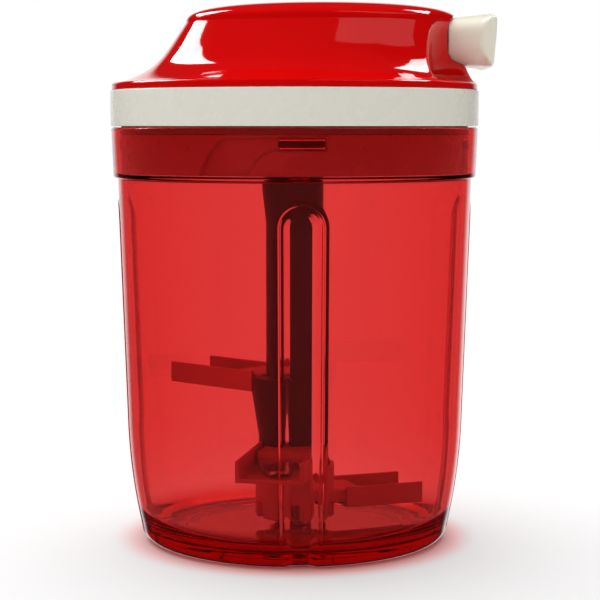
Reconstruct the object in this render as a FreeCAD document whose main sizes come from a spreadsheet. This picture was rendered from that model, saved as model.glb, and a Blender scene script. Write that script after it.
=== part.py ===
import FreeCAD, Part
import Sketcher
import math
import os
from types import SimpleNamespace

from FreeCAD import Placement, Rotation, Vector

# A hand food chopper driven by a pull cord. Origin on the container's axis at the
# height of the surface that it stands on, +Z up, +X the way the handle is pulled.
# Lengths in millimetres, angles in degrees.

DIMENSIONS = {
    # Container
    "collar_radius": 67.5,
    "collar_wall": 2.9,
    "collar_draft": 0.7,
    "collar_height": 18.3,
    "rim_height": 152.8,
    "shoulder_width": 1.6,
    "body_taper": 3.0,
    "heel_inset": 5.2,
    "taper_end_height": 47.0,
    "heel_height": 5.0,
    "heel_corner": 4.6,
    "belly_curve": 206.0,
    "container_wall": 2.8,
    "cavity_heel_inset": 2.4,
    "floor_height": 5.2,
    "floor_thickness": 2.8,
    "floor_corner": 10.0,
    "foot_gap": 0.4,
    "foot_width": 12.0,
    "foot_ring_width": 4.0,
    "foot_ring_depth": 2.0,
    "pivot_boss_radius": 6.5,
    "pivot_boss_height": 6.2,
    "pivot_pin_radius": 3.0,
    "pivot_pin_length": 20.8,
    "pivot_pin_depth": 1.5,
    "pivot_pin_tip": 1.0,
    # Flutes pressed into the container's wall
    "flute_azimuth": -86.4,
    "flute_width": 14.8,
    "flute_depth": 2.5,
    "flute_top_drop": 8.5,
    # Bayonet lugs and the grooves that take them
    "lug_width": 15.0,
    "lug_height": 3.0,
    "lug_reach": 2.4,
    "lug_drop": 4.1,
    "lug_clearance": 0.3,
    "unlock_rate": 2.08,
    "groove_top_angle": 24.8,
    "mouth_angle": 35.8,
    # Lid base
    "seat_gap": 0.4,
    "skirt_gap": 0.8,
    "skirt_depth": 16.8,
    "groove_depth": 1.9,
    "skirt_wall": 3.8,
    "plate_thickness": 3.6,
    "spigot_wall": 2.3,
    "seal_height": 1.8,
    "seal_width": 2.5,
    "seal_clearance": 0.15,
    "seal_land": 0.8,
    "seal_proud": 0.48,
    "spigot_top_gap": 0.3,
    "spigot_side_gap": 0.1,
    "cover_spigot_depth": 4.0,
    "cup_collar_wall": 1.9,
    "cup_collar_height": 4.0,
    "lid_hub_radius": 13.0,
    "lid_hub_depth": 9.7,
    "screw_inset": 15.6,
    "screw_boss_radius": 4.5,
    "screw_radius": 1.5,
    "screw_head_radius": 3.1,
    "screw_head_height": 2.0,
    "screw_length": 20.0,
    "screw_gap": 0.2,
    # Ivory band
    "band_height": 13.1,
    "band_wall": 2.6,
    "band_proud": 0.1,
    "band_round": 0.6,
    # Cover
    "cover_wall": 2.2,
    "lip_height": 2.7,
    "lip_inset": 0.5,
    "lip_round": 1.2,
    "flange_inset": 1.1,
    "dome_height": 24.7,
    "dome_shift": 10.0,
    "crease_end_inset": 17.8,
    "crease_side_inset": 32.6,
    "crown_height": 7.0,
    "scallop_radius": 22.5,
    "scallop_overhang": 2.4,
    "scallop_aside": 31.0,
    "scallop_floor": 0.5,
    "hollow_drop": 2.0,
    "dome_overlap": 0.6,
    # Handle
    "cord_drop": 7.0,
    "handle_inset": 12.1,
    "handle_length": 18.2,
    "handle_neck_width": 27.6,
    "handle_flare": 1.49,
    "handle_neck_height": 16.6,
    "handle_end_height": 20.8,
    "handle_width": 44.0,
    "handle_tilt": 5.0,
    "handle_end_setback": 1.0,
    "handle_clearance": 0.4,
    "handle_cap_radius": 5.0,
    "handle_cap_depth": 3.4,
    "knot_radius": 2.6,
    "knot_gap": 0.4,
    "knot_seat_gap": 0.1,
    "knot_depth": 9.2,
    # Cord
    "cord_radius": 1.0,
    "cord_bore": 1.5,
    "cord_hole_gap": 0.3,
    "eyelet_wall": 1.2,
    "eyelet_rim_reach": 3.0,
    "eyelet_rim": 1.2,
    "cord_bend": 12.0,
    "cord_bend_inset": 5.5,
    # Reel on its post
    "reel_turn_radius": 20.0,
    "reel_flange_radius": 26.0,
    "reel_flange": 1.5,
    "drum_radius": 15.0,
    "drum_height": 9.5,
    "arbor_radius": 8.0,
    "post_radius": 3.0,
    "reel_nose_radius": 6.0,
    "running_gap": 0.08,
    "cord_layer_gap": 0.2,
    "post_boss_radius": 6.0,
    "post_boss_gap": 0.6,
    "post_depth": 3.5,
    "clip_thickness": 0.8,
    "clip_radius": 5.0,
    "clip_gap": 0.15,
    # Spring and its cup
    "spring_height": 8.6,
    "spring_strip": 0.5,
    "spring_turns": 7.0,
    "spring_arbor_gap": 0.3,
    "spring_wall_gap": 0.2,
    "spring_top_gap": 0.9,
    "spring_floor_gap": 0.4,
    "cup_radius": 31.0,
    "cup_wall": 1.5,
    "cup_stand_radius": 22.0,
    "cup_hole_gap": 0.5,
    "cup_top_gap": 0.4,
    "cup_disc_gap": 1.3,
    # Clutch
    "clutch_radius": 14.0,
    "clutch_inner": 9.0,
    "clutch_teeth": 6,
    "tooth_height": 0.9,
    "tooth_angle": 24.0,
    "clutch_plate": 2.7,
    "clutch_gap": 0.3,
    "clutch_wire_radius": 0.45,
    "clutch_spring_reach": 2.6,
    "clutch_spring_turns": 2.5,
    "hex_radius": 5.4,
    "hex_gap": 0.15,
    "hex_drop": 0.2,
    # Drive spindle
    "journal_radius": 6.0,
    "bush_wall": 3.0,
    "bush_flange": 1.6,
    "bush_flange_reach": 2.0,
    "spindle_flange": 1.2,
    "spindle_flange_reach": 4.0,
    "spindle_flange_gap": 0.2,
    "spindle_end_gap": 0.3,
    "shaft_seal_height": 3.0,
    "dog_core_radius": 4.2,
    "dog_radius": 7.0,
    "dog_width": 5.0,
    "dog_length": 8.0,
    "dog_drop": 2.0,
    "dog_azimuth": 52.0,
    # Blade carrier
    "column_radius": 10.6,
    "column_top_radius": 12.0,
    "column_bore": 7.6,
    "column_flare_drop": 12.5,
    "column_flare_length": 12.0,
    "column_lid_gap": 1.0,
    "column_floor": 4.0,
    "socket_rib_angle": 30.0,
    "socket_rib_reach": 3.0,
    "socket_rib_height": 14.0,
    "socket_rib_drop": 2.0,
    "hub_clearance": 3.4,
    "hub_radius": 14.75,
    "hub_height": 19.4,
    "hub_skirt_wall": 3.0,
    "hub_skirt_height": 5.6,
    "hub_slot_width": 4.0,
    "hub_slots": 6,
    "hub_slot_offset": 30.0,
    "waist_radius": 13.5,
    "waist_height": 38.0,
    "shoulder_radius": 16.0,
    "shoulder_height": 54.0,
    "ledge_height": 60.5,
    "bush_radius": 5.0,
    "bush_length": 12.0,
    "bush_boss_gap": 0.3,
    "pin_tip_gap": 0.6,
    # Arms: blade, guard and root
    "guard_core_gap": 0.3,
    "guard_width": 24.0,
    "guard_wall": 1.5,
    "guard_floor": 1.7,
    "guard_height": 7.7,
    "root_width": 19.0,
    "root_height": 4.8,
    "root_start": 8.0,
    "root_end": 24.0,
    "root_lift": 0.1,
    "blade_thickness": 1.2,
    "blade_lift": 1.4,
    "blade_edge_reach": 8.5,
    "blade_back_reach": 6.8,
    "blade_neck_reach": 5.95,
    "blade_step": 2.0,
    "blade_point_reach": 4.5,
    "blade_point_length": 4.0,
    "blade_curve": 60.0,
    "blade_short": 1.0,
    "blade_tongue": 7.6,
    "upper_azimuth": 140.0,
    "upper_start": 11.0,
    "upper_height": 54.6,
    "upper_tip_gap": 8.2,
    "middle_azimuth": 260.0,
    "middle_start": 6.0,
    "middle_height": 29.3,
    "middle_tip_gap": 12.2,
    "lower_azimuth": 20.0,
    "lower_start": 16.5,
    "lower_height": 12.0,
    "lower_tip_gap": 14.7,
}

doc = FreeCAD.newDocument("food_chopper")
sheet = doc.addObject("Spreadsheet::Sheet", "sizes")


class Size:
    """A size with its value now and the formula that ties it to the sheet."""

    def __init__(self, value, formula):
        self.value = float(value)
        self.formula = formula

    def __add__(self, other):
        other = sized(other)
        return Size(self.value + other.value, f"({self.formula} + {other.formula})")

    def __sub__(self, other):
        other = sized(other)
        return Size(self.value - other.value, f"({self.formula} - {other.formula})")

    def __mul__(self, other):
        other = sized(other)
        return Size(self.value * other.value, f"({self.formula} * {other.formula})")

    def __truediv__(self, other):
        other = sized(other)
        return Size(self.value / other.value, f"({self.formula} / {other.formula})")

    def __radd__(self, other):
        return sized(other) + self

    def __rsub__(self, other):
        return sized(other) - self

    def __rmul__(self, other):
        return sized(other) * self

    def __neg__(self):
        return sized(0) - self


def sized(number):
    """The number as a Size, whether it is one already or a plain number."""
    return number if isinstance(number, Size) else Size(number, repr(number))


def cosine(angle):
    angle = sized(angle)
    return Size(math.cos(math.radians(angle.value)), f"cos({angle.formula} * 1deg)")


def sine(angle):
    angle = sized(angle)
    return Size(math.sin(math.radians(angle.value)), f"sin({angle.formula} * 1deg)")


def width_angle(width, radius):
    """The angle that a width takes up on a circle, in degrees."""
    return width / radius * Size(math.degrees(1), "57.29578")


def fill_sheet():
    """One row for each driving dimension, with its name as the alias of its cell."""
    sizes = {}
    for row, (name, value) in enumerate(DIMENSIONS.items(), start=1):
        sheet.set(f"A{row}", name)
        sheet.set(f"B{row}", str(value))
        sheet.setAlias(f"B{row}", name)
        sizes[name] = Size(value, f"sizes.{name}")
    doc.recompute()
    return SimpleNamespace(**sizes)


d = fill_sheet()

# How far a cutter runs past what it cuts, and how far pieces of one solid run into each other
PAST = 1.0
# The radius of a flute's arch against half the flute's width
ARCH_RATIO = 1.05


def bind(thing, prop, size):
    """Set a property to a size, tied to the sheet where the size comes from it."""
    size = sized(size)
    if "sizes." in size.formula:
        thing.setExpression(prop, size.formula)
    else:
        holder = thing
        names = prop.split(".")
        for name in names[:-1]:
            holder = getattr(holder, name)
        setattr(holder, names[-1], size.value)


def place(thing, x=0, y=0, z=0, turn=0):
    """Put a thing at x, y, z, turned about an upright axis through its own origin."""
    spot = Vector(sized(x).value, sized(y).value, sized(z).value)
    thing.Placement = Placement(spot, Rotation(Vector(0, 0, 1), sized(turn).value))
    for letter, size in (("x", x), ("y", y), ("z", z)):
        if "sizes." in sized(size).formula:
            thing.setExpression(f"Placement.Base.{letter}", sized(size).formula)
    if "sizes." in sized(turn).formula:
        thing.setExpression("Placement.Rotation.Angle", f"{sized(turn).formula} * 1deg")
    return thing


def cylinder(name, radius, low, high, x=0, y=0):
    """An upright cylinder from one height to another."""
    disc = doc.addObject("Part::Cylinder", name)
    bind(disc, "Radius", radius)
    bind(disc, "Height", sized(high) - sized(low))
    return place(disc, x, y, low)


def cone(name, low_radius, high_radius, low, high):
    """An upright cone frustum from one height to another."""
    frustum = doc.addObject("Part::Cone", name)
    bind(frustum, "Radius1", low_radius)
    bind(frustum, "Radius2", high_radius)
    bind(frustum, "Height", sized(high) - sized(low))
    return place(frustum, z=low)


def block(name, low, high):
    """A block between two corners."""
    brick = doc.addObject("Part::Box", name)
    for prop, start, end in zip(("Length", "Width", "Height"), low, high):
        bind(brick, prop, sized(end) - sized(start))
    return place(brick, *low)


def turned(name, shape, turn):
    """The same shape turned about the origin's upright axis."""
    group = doc.addObject("Part::Compound", name)
    group.Links = [shape]
    return place(group, turn=turn)


def cut(name, base, *tools):
    """The base with the tools taken away."""
    tool = tools[0] if len(tools) == 1 else fuse(f"{name}_tools", *tools)
    result = doc.addObject("Part::Cut", name)
    result.Base = base
    result.Tool = tool
    return result


def fuse(name, *shapes):
    """The shapes joined into one."""
    result = doc.addObject("Part::MultiFuse", name)
    result.Shapes = list(shapes)
    result.Refine = True
    return result


def common(name, *shapes):
    """What all the shapes share."""
    result = doc.addObject("Part::MultiCommon", name)
    result.Shapes = list(shapes)
    return result


def tube(name, outer, inner, low, high):
    """An upright tube from one height to another."""
    bore = cylinder(f"{name}_bore", inner, sized(low) - PAST, sized(high) + PAST)
    return cut(name, cylinder(f"{name}_round", outer, low, high), bore)


def sector(name, outer, inner, low, high, middle, sweep):
    """A piece of a tube, centred on one azimuth."""
    wedge = cylinder(f"{name}_wedge", outer, low, high)
    bind(wedge, "Angle", sweep)
    place(wedge, z=low, turn=sized(middle) - sized(sweep) / 2)
    bore = cylinder(f"{name}_bore", inner, sized(low) - PAST, sized(high) + PAST)
    return cut(name, wedge, bore)


def arc_centre(start, end, radius):
    """Centre of the arc that bulges to the right of the way from one point to the other."""
    middle = (start + end) * 0.5
    half = (end - start).Length / 2
    left = Vector(start.y - end.y, end.x - start.x, 0).normalize()
    return middle + left * math.sqrt(radius * radius - half * half)


def outline(body, plane, corners):
    """A closed sketch through the corners. A third value is the radius of the edge that ends there."""
    sketch = body.newObject("Sketcher::SketchObject", f"{body.Name}_outline")
    planes = {feature.Role: feature for feature in body.Origin.OriginFeatures}
    sketch.AttachmentSupport = [(planes[plane], "")]
    sketch.MapMode = "FlatFace"
    places = [Vector(sized(c[0]).value, sized(c[1]).value, 0) for c in corners]
    count = len(corners)
    for number, corner in enumerate(corners):
        start = places[number - 1]
        end = places[number]
        if len(corner) == 3:
            centre = arc_centre(start, end, sized(corner[2]).value)
            circle = Part.Circle(centre, Vector(0, 0, 1), sized(corner[2]).value)
            first = math.atan2(start.y - centre.y, start.x - centre.x)
            last = math.atan2(end.y - centre.y, end.x - centre.x)
            sketch.addGeometry(Part.ArcOfCircle(circle, first, last), False)
        else:
            sketch.addGeometry(Part.LineSegment(start, end), False)
    for number, corner in enumerate(corners):
        following = (number + 1) % count
        sketch.addConstraint(Sketcher.Constraint("Coincident", number, 2, following, 1))
        tie(sketch, "DistanceX", number, sized(corner[0]), -2)
        tie(sketch, "DistanceY", number, sized(corner[1]), -1)
        if len(corner) == 3:
            radius = sized(corner[2])
            mark = sketch.addConstraint(Sketcher.Constraint("Radius", number, radius.value))
            if "sizes." in radius.formula:
                sketch.setExpression(f"Constraints[{mark}]", radius.formula)
    return sketch


def tie(sketch, kind, edge, size, axis):
    """Hold the end of an edge at a size along one axis, or on the other axis where the size is zero."""
    if abs(size.value) < 1e-9:
        sketch.addConstraint(Sketcher.Constraint("PointOnObject", edge, 2, axis))
        return
    mark = sketch.addConstraint(Sketcher.Constraint(kind, -1, 1, edge, 2, size.value))
    if "sizes." in size.formula:
        sketch.setExpression(f"Constraints[{mark}]", size.formula)


def revolved(name, corners):
    """A body turned from an outline of radius and height."""
    body = doc.addObject("PartDesign::Body", name)
    sketch = outline(body, "XZ_Plane", corners)
    turning = body.newObject("PartDesign::Revolution", f"{name}_turning")
    turning.Profile = sketch
    turning.ReferenceAxis = (sketch, ["V_Axis"])
    turning.Angle = 360
    return body


def padded(name, plane, corners, length, middle=False):
    """A body pushed up from an outline on one of its own planes, to one side of it or to both."""
    body = doc.addObject("PartDesign::Body", name)
    sketch = outline(body, plane, corners)
    pad = body.newObject("PartDesign::Pad", f"{name}_pad")
    pad.Profile = sketch
    bind(pad, "Length", length)
    pad.Midplane = middle
    return body


# Radii and heights that several pieces share
collar_inner = d.collar_radius - d.collar_wall
collar_bottom = d.rim_height - d.collar_height
body_top_radius = d.collar_radius - d.collar_draft - d.shoulder_width
body_low_radius = body_top_radius - d.body_taper
heel_radius = body_low_radius - d.heel_inset
cavity_bottom_radius = body_low_radius - d.container_wall - d.cavity_heel_inset
inner_step = collar_bottom + d.container_wall / 2
seat = d.rim_height + d.seat_gap
skirt_radius = collar_inner - d.skirt_gap
skirt_bottom = seat - d.skirt_depth
groove_radius = skirt_radius - d.groove_depth
plate_bottom = seat - d.plate_thickness
lid_hub_bottom = seat - d.lid_hub_depth
band_radius = d.collar_radius + d.band_proud
band_top = seat + d.band_height
crease_height = band_top + d.dome_height
cord_height = crease_height - d.cord_drop
cover_radius = band_radius - d.flange_inset
lug_radius = collar_inner - d.lug_reach
lug_top = d.rim_height - d.lug_drop
lug_angle = width_angle(d.lug_width, collar_inner)
boss_top = d.floor_height + d.pivot_boss_height
pin_low = d.floor_height - d.pivot_pin_depth
pin_top = pin_low + d.pivot_pin_length
column_top = lid_hub_bottom - d.column_lid_gap
spigot_outer = band_radius - d.band_wall
cover_spigot_outer = spigot_outer - d.spigot_wall - d.spigot_side_gap
handle_start = band_radius - d.handle_inset
dock_face = handle_start - d.handle_clearance
crease_half_length = band_radius - d.crease_end_inset
crease_half_width = band_radius - d.crease_side_inset
screw_circle = band_radius - d.screw_inset
knot_low = handle_start + d.knot_depth + d.knot_seat_gap
quarter_turns = [0, 90, 180, 270]

# Levels of the drive, from the cord's height down to the seat
reel_top = cord_height + d.drum_height / 2 + d.reel_flange
drum_low = cord_height - d.drum_height / 2
arbor_top = drum_low - d.reel_flange
spring_low = arbor_top - d.spring_height - d.spring_top_gap
cup_floor = spring_low - d.spring_floor_gap
disc_low = cup_floor - d.cup_wall - d.cup_disc_gap
post_top = crease_height + d.crown_height / 2
clutch_top = disc_low - d.tooth_height - d.clutch_gap
clutch_low = clutch_top - d.clutch_plate
spindle_top = clutch_top - d.hex_drop
spindle_flange_low = seat + d.bush_flange + d.spindle_flange_gap
post_low = spindle_top - d.post_depth

nodes = []


def finish(shape, name):
    """Name the shape as one of the part's pieces."""
    shape.Label = name
    nodes.append(shape)
    return shape


def wall_body(name, inset, bottom):
    """Everything inside the container's outer wall moved in by an inset."""
    return revolved(name, [
        (0, bottom),
        (heel_radius - inset, bottom),
        (heel_radius - inset, d.heel_height),
        (body_low_radius - inset, d.taper_end_height, d.belly_curve),
        (body_top_radius - inset, collar_bottom),
        (0, collar_bottom),
    ])


def flute_windows(name, extra, bottom):
    """Round-topped windows through the wall, straight across the container, one for each pair of flutes."""
    half = d.flute_width / 2 + extra
    top = collar_bottom - d.flute_top_drop - d.flute_width / 2
    window = padded(name, "XZ_Plane", [
        (-half, bottom),
        (half, bottom),
        (half, top),
        (-half, top, half * ARCH_RATIO),
    ], d.collar_radius * 3, middle=True)
    first = turned(f"{name}_front", window, d.flute_azimuth + 90)
    second = turned(f"{name}_side", window, d.flute_azimuth + 180)
    return fuse(f"{name}_pair", first, second)


def make_container():
    """The clear bowl: tapered wall with four flutes, a collar with lugs, and a boss for the pivot pin."""
    heel_start = heel_radius - d.heel_corner
    outside = revolved("container_outside", [
        (0, d.foot_gap),
        (heel_start, d.foot_gap),
        (heel_radius, d.heel_height, d.heel_corner),
        (body_low_radius, d.taper_end_height, d.belly_curve),
        (body_top_radius, collar_bottom),
        (d.collar_radius - d.collar_draft, collar_bottom),
        (d.collar_radius, d.rim_height),
        (0, d.rim_height),
    ])
    cavity = revolved("container_cavity", [
        (0, d.floor_height),
        (cavity_bottom_radius - d.floor_corner, d.floor_height),
        (cavity_bottom_radius, d.floor_height + d.floor_corner, d.floor_corner),
        (body_low_radius - d.container_wall, d.taper_end_height, d.belly_curve),
        (body_top_radius - d.container_wall, inner_step),
        (collar_inner, inner_step),
        (collar_inner, d.rim_height + PAST),
        (0, d.rim_height + PAST),
    ])
    grooves = cut("flute_grooves", flute_windows("flute_window", 0, -PAST),
                  wall_body("flute_floor", d.flute_depth, -2 * PAST))
    ribs = cut("flute_ribs", flute_windows("rib_window", d.container_wall, -PAST),
               wall_body("rib_face", d.flute_depth + d.container_wall, -2 * PAST))
    room = cut("container_room", cavity, ribs)
    shell = cut("container_shell", outside, grooves, room)
    recess = cylinder("foot_recess", heel_start - d.foot_width, 0,
                      d.floor_height - d.floor_thickness)
    ring_outer = heel_start - d.foot_width / 2 + d.foot_ring_width / 2
    channel = tube("foot_channel", ring_outer, ring_outer - d.foot_ring_width, 0,
                   d.foot_gap + d.foot_ring_depth)
    boss = cylinder("pivot_boss", d.pivot_boss_radius, d.floor_height - PAST, boss_top)
    pin_hole = cylinder("pivot_hole", d.pivot_pin_radius, pin_low, boss_top + PAST)
    lugs = []
    for number, turn in enumerate(quarter_turns):
        lugs.append(sector(f"lug_{number}", collar_inner + d.collar_wall / 2, lug_radius,
                           lug_top - d.lug_height, lug_top, d.flute_azimuth + turn, lug_angle))
    bowl = fuse("container_bowl", shell, boss, *lugs)
    finish(cut("container_body", bowl, recess, channel, pin_hole), "container")
    finish(tube("foot_ring_body", ring_outer, ring_outer - d.foot_ring_width, 0,
                d.foot_gap + d.foot_ring_depth), "base_ring")
    tip_low = pin_top - d.pivot_pin_tip
    pin_shaft = cylinder("pivot_pin_shaft", d.pivot_pin_radius, pin_low, tip_low)
    pin_end = cone("pivot_pin_end", d.pivot_pin_radius, d.pivot_pin_radius - d.pivot_pin_tip,
                   tip_low, pin_top)
    finish(fuse("pivot_pin_body", pin_shaft, pin_end), "pivot_pin")


def screw_spots():
    """Where the four screws stand, halfway between the pull axis and the axis across it."""
    azimuths = [turn + 45 for turn in quarter_turns]
    return [(screw_circle * cosine(azimuth), screw_circle * sine(azimuth)) for azimuth in azimuths]


def make_lid_base():
    """The lid's lower half: skirt with bayonet grooves, plate with bearing hub, and a spigot for the band."""
    seal_low = plate_bottom + d.seal_land
    seal_high = seal_low + d.seal_height + d.seal_clearance * 2
    seal_floor = skirt_radius + d.seal_proud - d.seal_width
    skirt = tube("skirt", skirt_radius, skirt_radius - d.skirt_wall, skirt_bottom,
                 plate_bottom + d.seal_land / 2)
    lug_side = lug_angle / 2 + width_angle(d.lug_clearance, collar_inner)
    channel_low = lug_top - d.lug_height - d.lug_clearance
    channel_high = lug_top + d.lug_clearance
    mouth_low = skirt_bottom - PAST
    ramp_end = lug_side - d.unlock_rate * (channel_low - mouth_low - d.lug_clearance)
    middle = d.mouth_angle / 2 - lug_side / 2

    def across(angle):
        """How far an azimuth lies beside the middle of the groove, along a chord."""
        return skirt_radius * sine(angle + middle)

    slot = padded("groove_slot", "XZ_Plane", [
        (across(ramp_end), mouth_low),
        (across(lug_side), channel_low),
        (across(lug_side), channel_high),
        (across(-d.groove_top_angle), channel_high),
        (across(-d.mouth_angle), mouth_low),
    ], d.collar_radius)
    grooves = []
    for number, turn in enumerate(quarter_turns):
        grooves.append(turned(f"groove_{number}", slot, d.flute_azimuth + 90 + turn - middle))
    groove_cutter = cut("groove_cutter", fuse("groove_sectors", *grooves),
                        cylinder("groove_core", groove_radius, skirt_bottom - 2 * PAST, seat))
    lower_plate = cylinder("plate_lower", skirt_radius, plate_bottom, seal_low)
    core_plate = cylinder("plate_core", seal_floor - d.seal_clearance, seal_low, seal_high)
    upper_plate = cylinder("plate_upper", skirt_radius, seal_high, seat)
    hub = cylinder("lid_hub", d.lid_hub_radius, lid_hub_bottom, plate_bottom + PAST)
    spigot = tube("lid_spigot", spigot_outer, spigot_outer - d.spigot_wall, seat,
                  band_top - d.spigot_top_gap)
    collar_radius = d.cup_stand_radius - d.cup_wall - d.spigot_side_gap
    collar = tube("cup_collar", collar_radius, collar_radius - d.cup_collar_wall, seat - PAST,
                  seat + d.cup_collar_height)
    bosses = []
    holes = []
    for number, spot in enumerate(screw_spots()):
        bosses.append(cylinder(f"base_boss_{number}", d.screw_boss_radius, seat - PAST,
                               band_top - d.spigot_top_gap, *spot))
        holes.append(cylinder(f"base_hole_{number}", d.screw_radius + d.screw_gap, plate_bottom - PAST,
                              band_top, *spot))
        holes.append(cylinder(f"base_sink_{number}", d.screw_head_radius + d.screw_gap, plate_bottom - PAST,
                              plate_bottom + d.screw_head_height, *spot))
    bearing = cylinder("bearing_hole", d.journal_radius + d.bush_wall, lid_hub_bottom - PAST, seat + PAST)
    joined = fuse("lid_base_joined", skirt, lower_plate, core_plate, upper_plate, hub, spigot, collar,
                  *bosses)
    finish(cut("lid_base_body", joined, groove_cutter, bearing, *holes), "lid_base")
    finish(tube("seal_body", seal_floor + d.seal_width, seal_floor, seal_low + d.seal_clearance,
                seal_low + d.seal_clearance + d.seal_height), "seal_ring")


def soften(name, base, size, chosen):
    """The base with the edges that are chosen rounded to a size."""
    doc.recompute()
    edges = []
    for number, edge in enumerate(base.Shape.Edges, start=1):
        if chosen(edge):
            edges.append((number, size.value, size.value))
    rounding = doc.addObject("Part::Fillet", name)
    rounding.Base = base
    rounding.Edges = edges
    return rounding


def circle_at(radius, height=None):
    """A test for a round edge of one radius, at one height if it is given."""
    def matches(edge):
        if not isinstance(edge.Curve, Part.Circle) or abs(edge.Curve.Radius - radius.value) > 0.001:
            return False
        return height is None or abs(edge.Curve.Center.z - height.value) < 0.001
    return matches


def make_band():
    """The ivory band between the cover and the container, with soft edges."""
    ring = tube("band_ring", band_radius, band_radius - d.band_wall, seat, band_top)
    finish(soften("band_body", ring, d.band_round, circle_at(band_radius)), "lid_band")


def dome_section(name, share, height, inset):
    """One level of the cover: an oval that widens from the crease to the round flange."""
    oval = doc.addObject("Part::Ellipse", name)
    bind(oval, "MajorRadius", crease_half_length * (1 - share) + cover_radius * share - inset)
    bind(oval, "MinorRadius", crease_half_width * (1 - share) + cover_radius * share - inset)
    place(oval, x=d.dome_shift * (1 - share), z=height)
    return oval


def dome_loft(name, inset, drop):
    """The cover's wall and crown as one solid, moved in by an inset and down by a drop."""
    wall_levels = [(1.0, 1.0), (0.94, 0.88), (0.86, 0.67), (0.76, 0.51), (0.6, 0.37), (0.43, 0.25),
                   (0.28, 0.15), (0.11, 0.07), (0.0, 0.0)]
    wall_height = d.dome_height - d.lip_height + d.dome_overlap
    sections = []
    for number, (down, share) in enumerate(wall_levels):
        height = crease_height - drop - (wall_height - drop) * down
        sections.append(dome_section(f"{name}_wall_{number}", share, height, inset))
    wall = doc.addObject("Part::Loft", f"{name}_wall")
    wall.Sections = sections
    wall.Solid = True
    crown_levels = [(0.0, 0.0), (0.17, 0.008), (0.4, 0.04), (0.57, 0.085), (0.7, 0.14), (0.81, 0.24),
                    (0.9, 0.4), (0.97, 0.65), (1.0, 0.9)]
    sections = []
    for number, (up, shrink) in enumerate(crown_levels):
        oval = doc.addObject("Part::Ellipse", f"{name}_crown_{number}")
        bind(oval, "MajorRadius", (crease_half_length - inset) * (1 - shrink))
        bind(oval, "MinorRadius", (crease_half_width - inset) * (1 - shrink))
        place(oval, x=d.dome_shift, z=crease_height - drop + d.crown_height * up)
        sections.append(oval)
    crown = doc.addObject("Part::Loft", f"{name}_crown")
    crown.Sections = sections
    crown.Solid = True
    return fuse(name, wall, crown)


def rounded_oval(along, half_width, half_height, power, centre_height, extra):
    """A closed curve across the pull axis, between an ellipse and a rounded rectangle."""
    points = []
    count = 48
    for step in range(count):
        angle = 2 * math.pi * step / count
        side = math.cos(angle)
        rise = math.sin(angle)
        reach = (abs(side) ** power + abs(rise) ** power) ** (-1 / power)
        points.append(Vector(along, (half_width + extra) * reach * side,
                             centre_height + (half_height + extra) * reach * rise))
    curve = Part.BSplineCurve()
    curve.interpolate(points, PeriodicFlag=True)
    return Part.Wire([curve.toShape()])


def handle_form(extra, start_gap):
    """The handle's flared form, a little larger where it makes the dock in the cover."""
    start = handle_start.value
    length = d.handle_length.value
    neck = d.handle_neck_width.value / 2
    low = d.handle_neck_height.value / 2
    high = d.handle_end_height.value / 2
    levels = [(0.0, 2.8), (0.3, 2.8), (0.59, 2.9), (0.7, 3.3), (0.8, 4.6), (0.9, 6.2), (1.0, 8.0)]
    wires = []
    for share, power in levels:
        along = start + (length + 0.4) * share
        if share == 0.0:
            along -= start_gap
        half_width = neck + d.handle_flare.value / 2 * (along - start)
        half_height = low + (high - low) * share
        wires.append(rounded_oval(along, half_width, half_height, power, cord_height.value, extra))
    return Part.makeLoft(wires, True)


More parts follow.
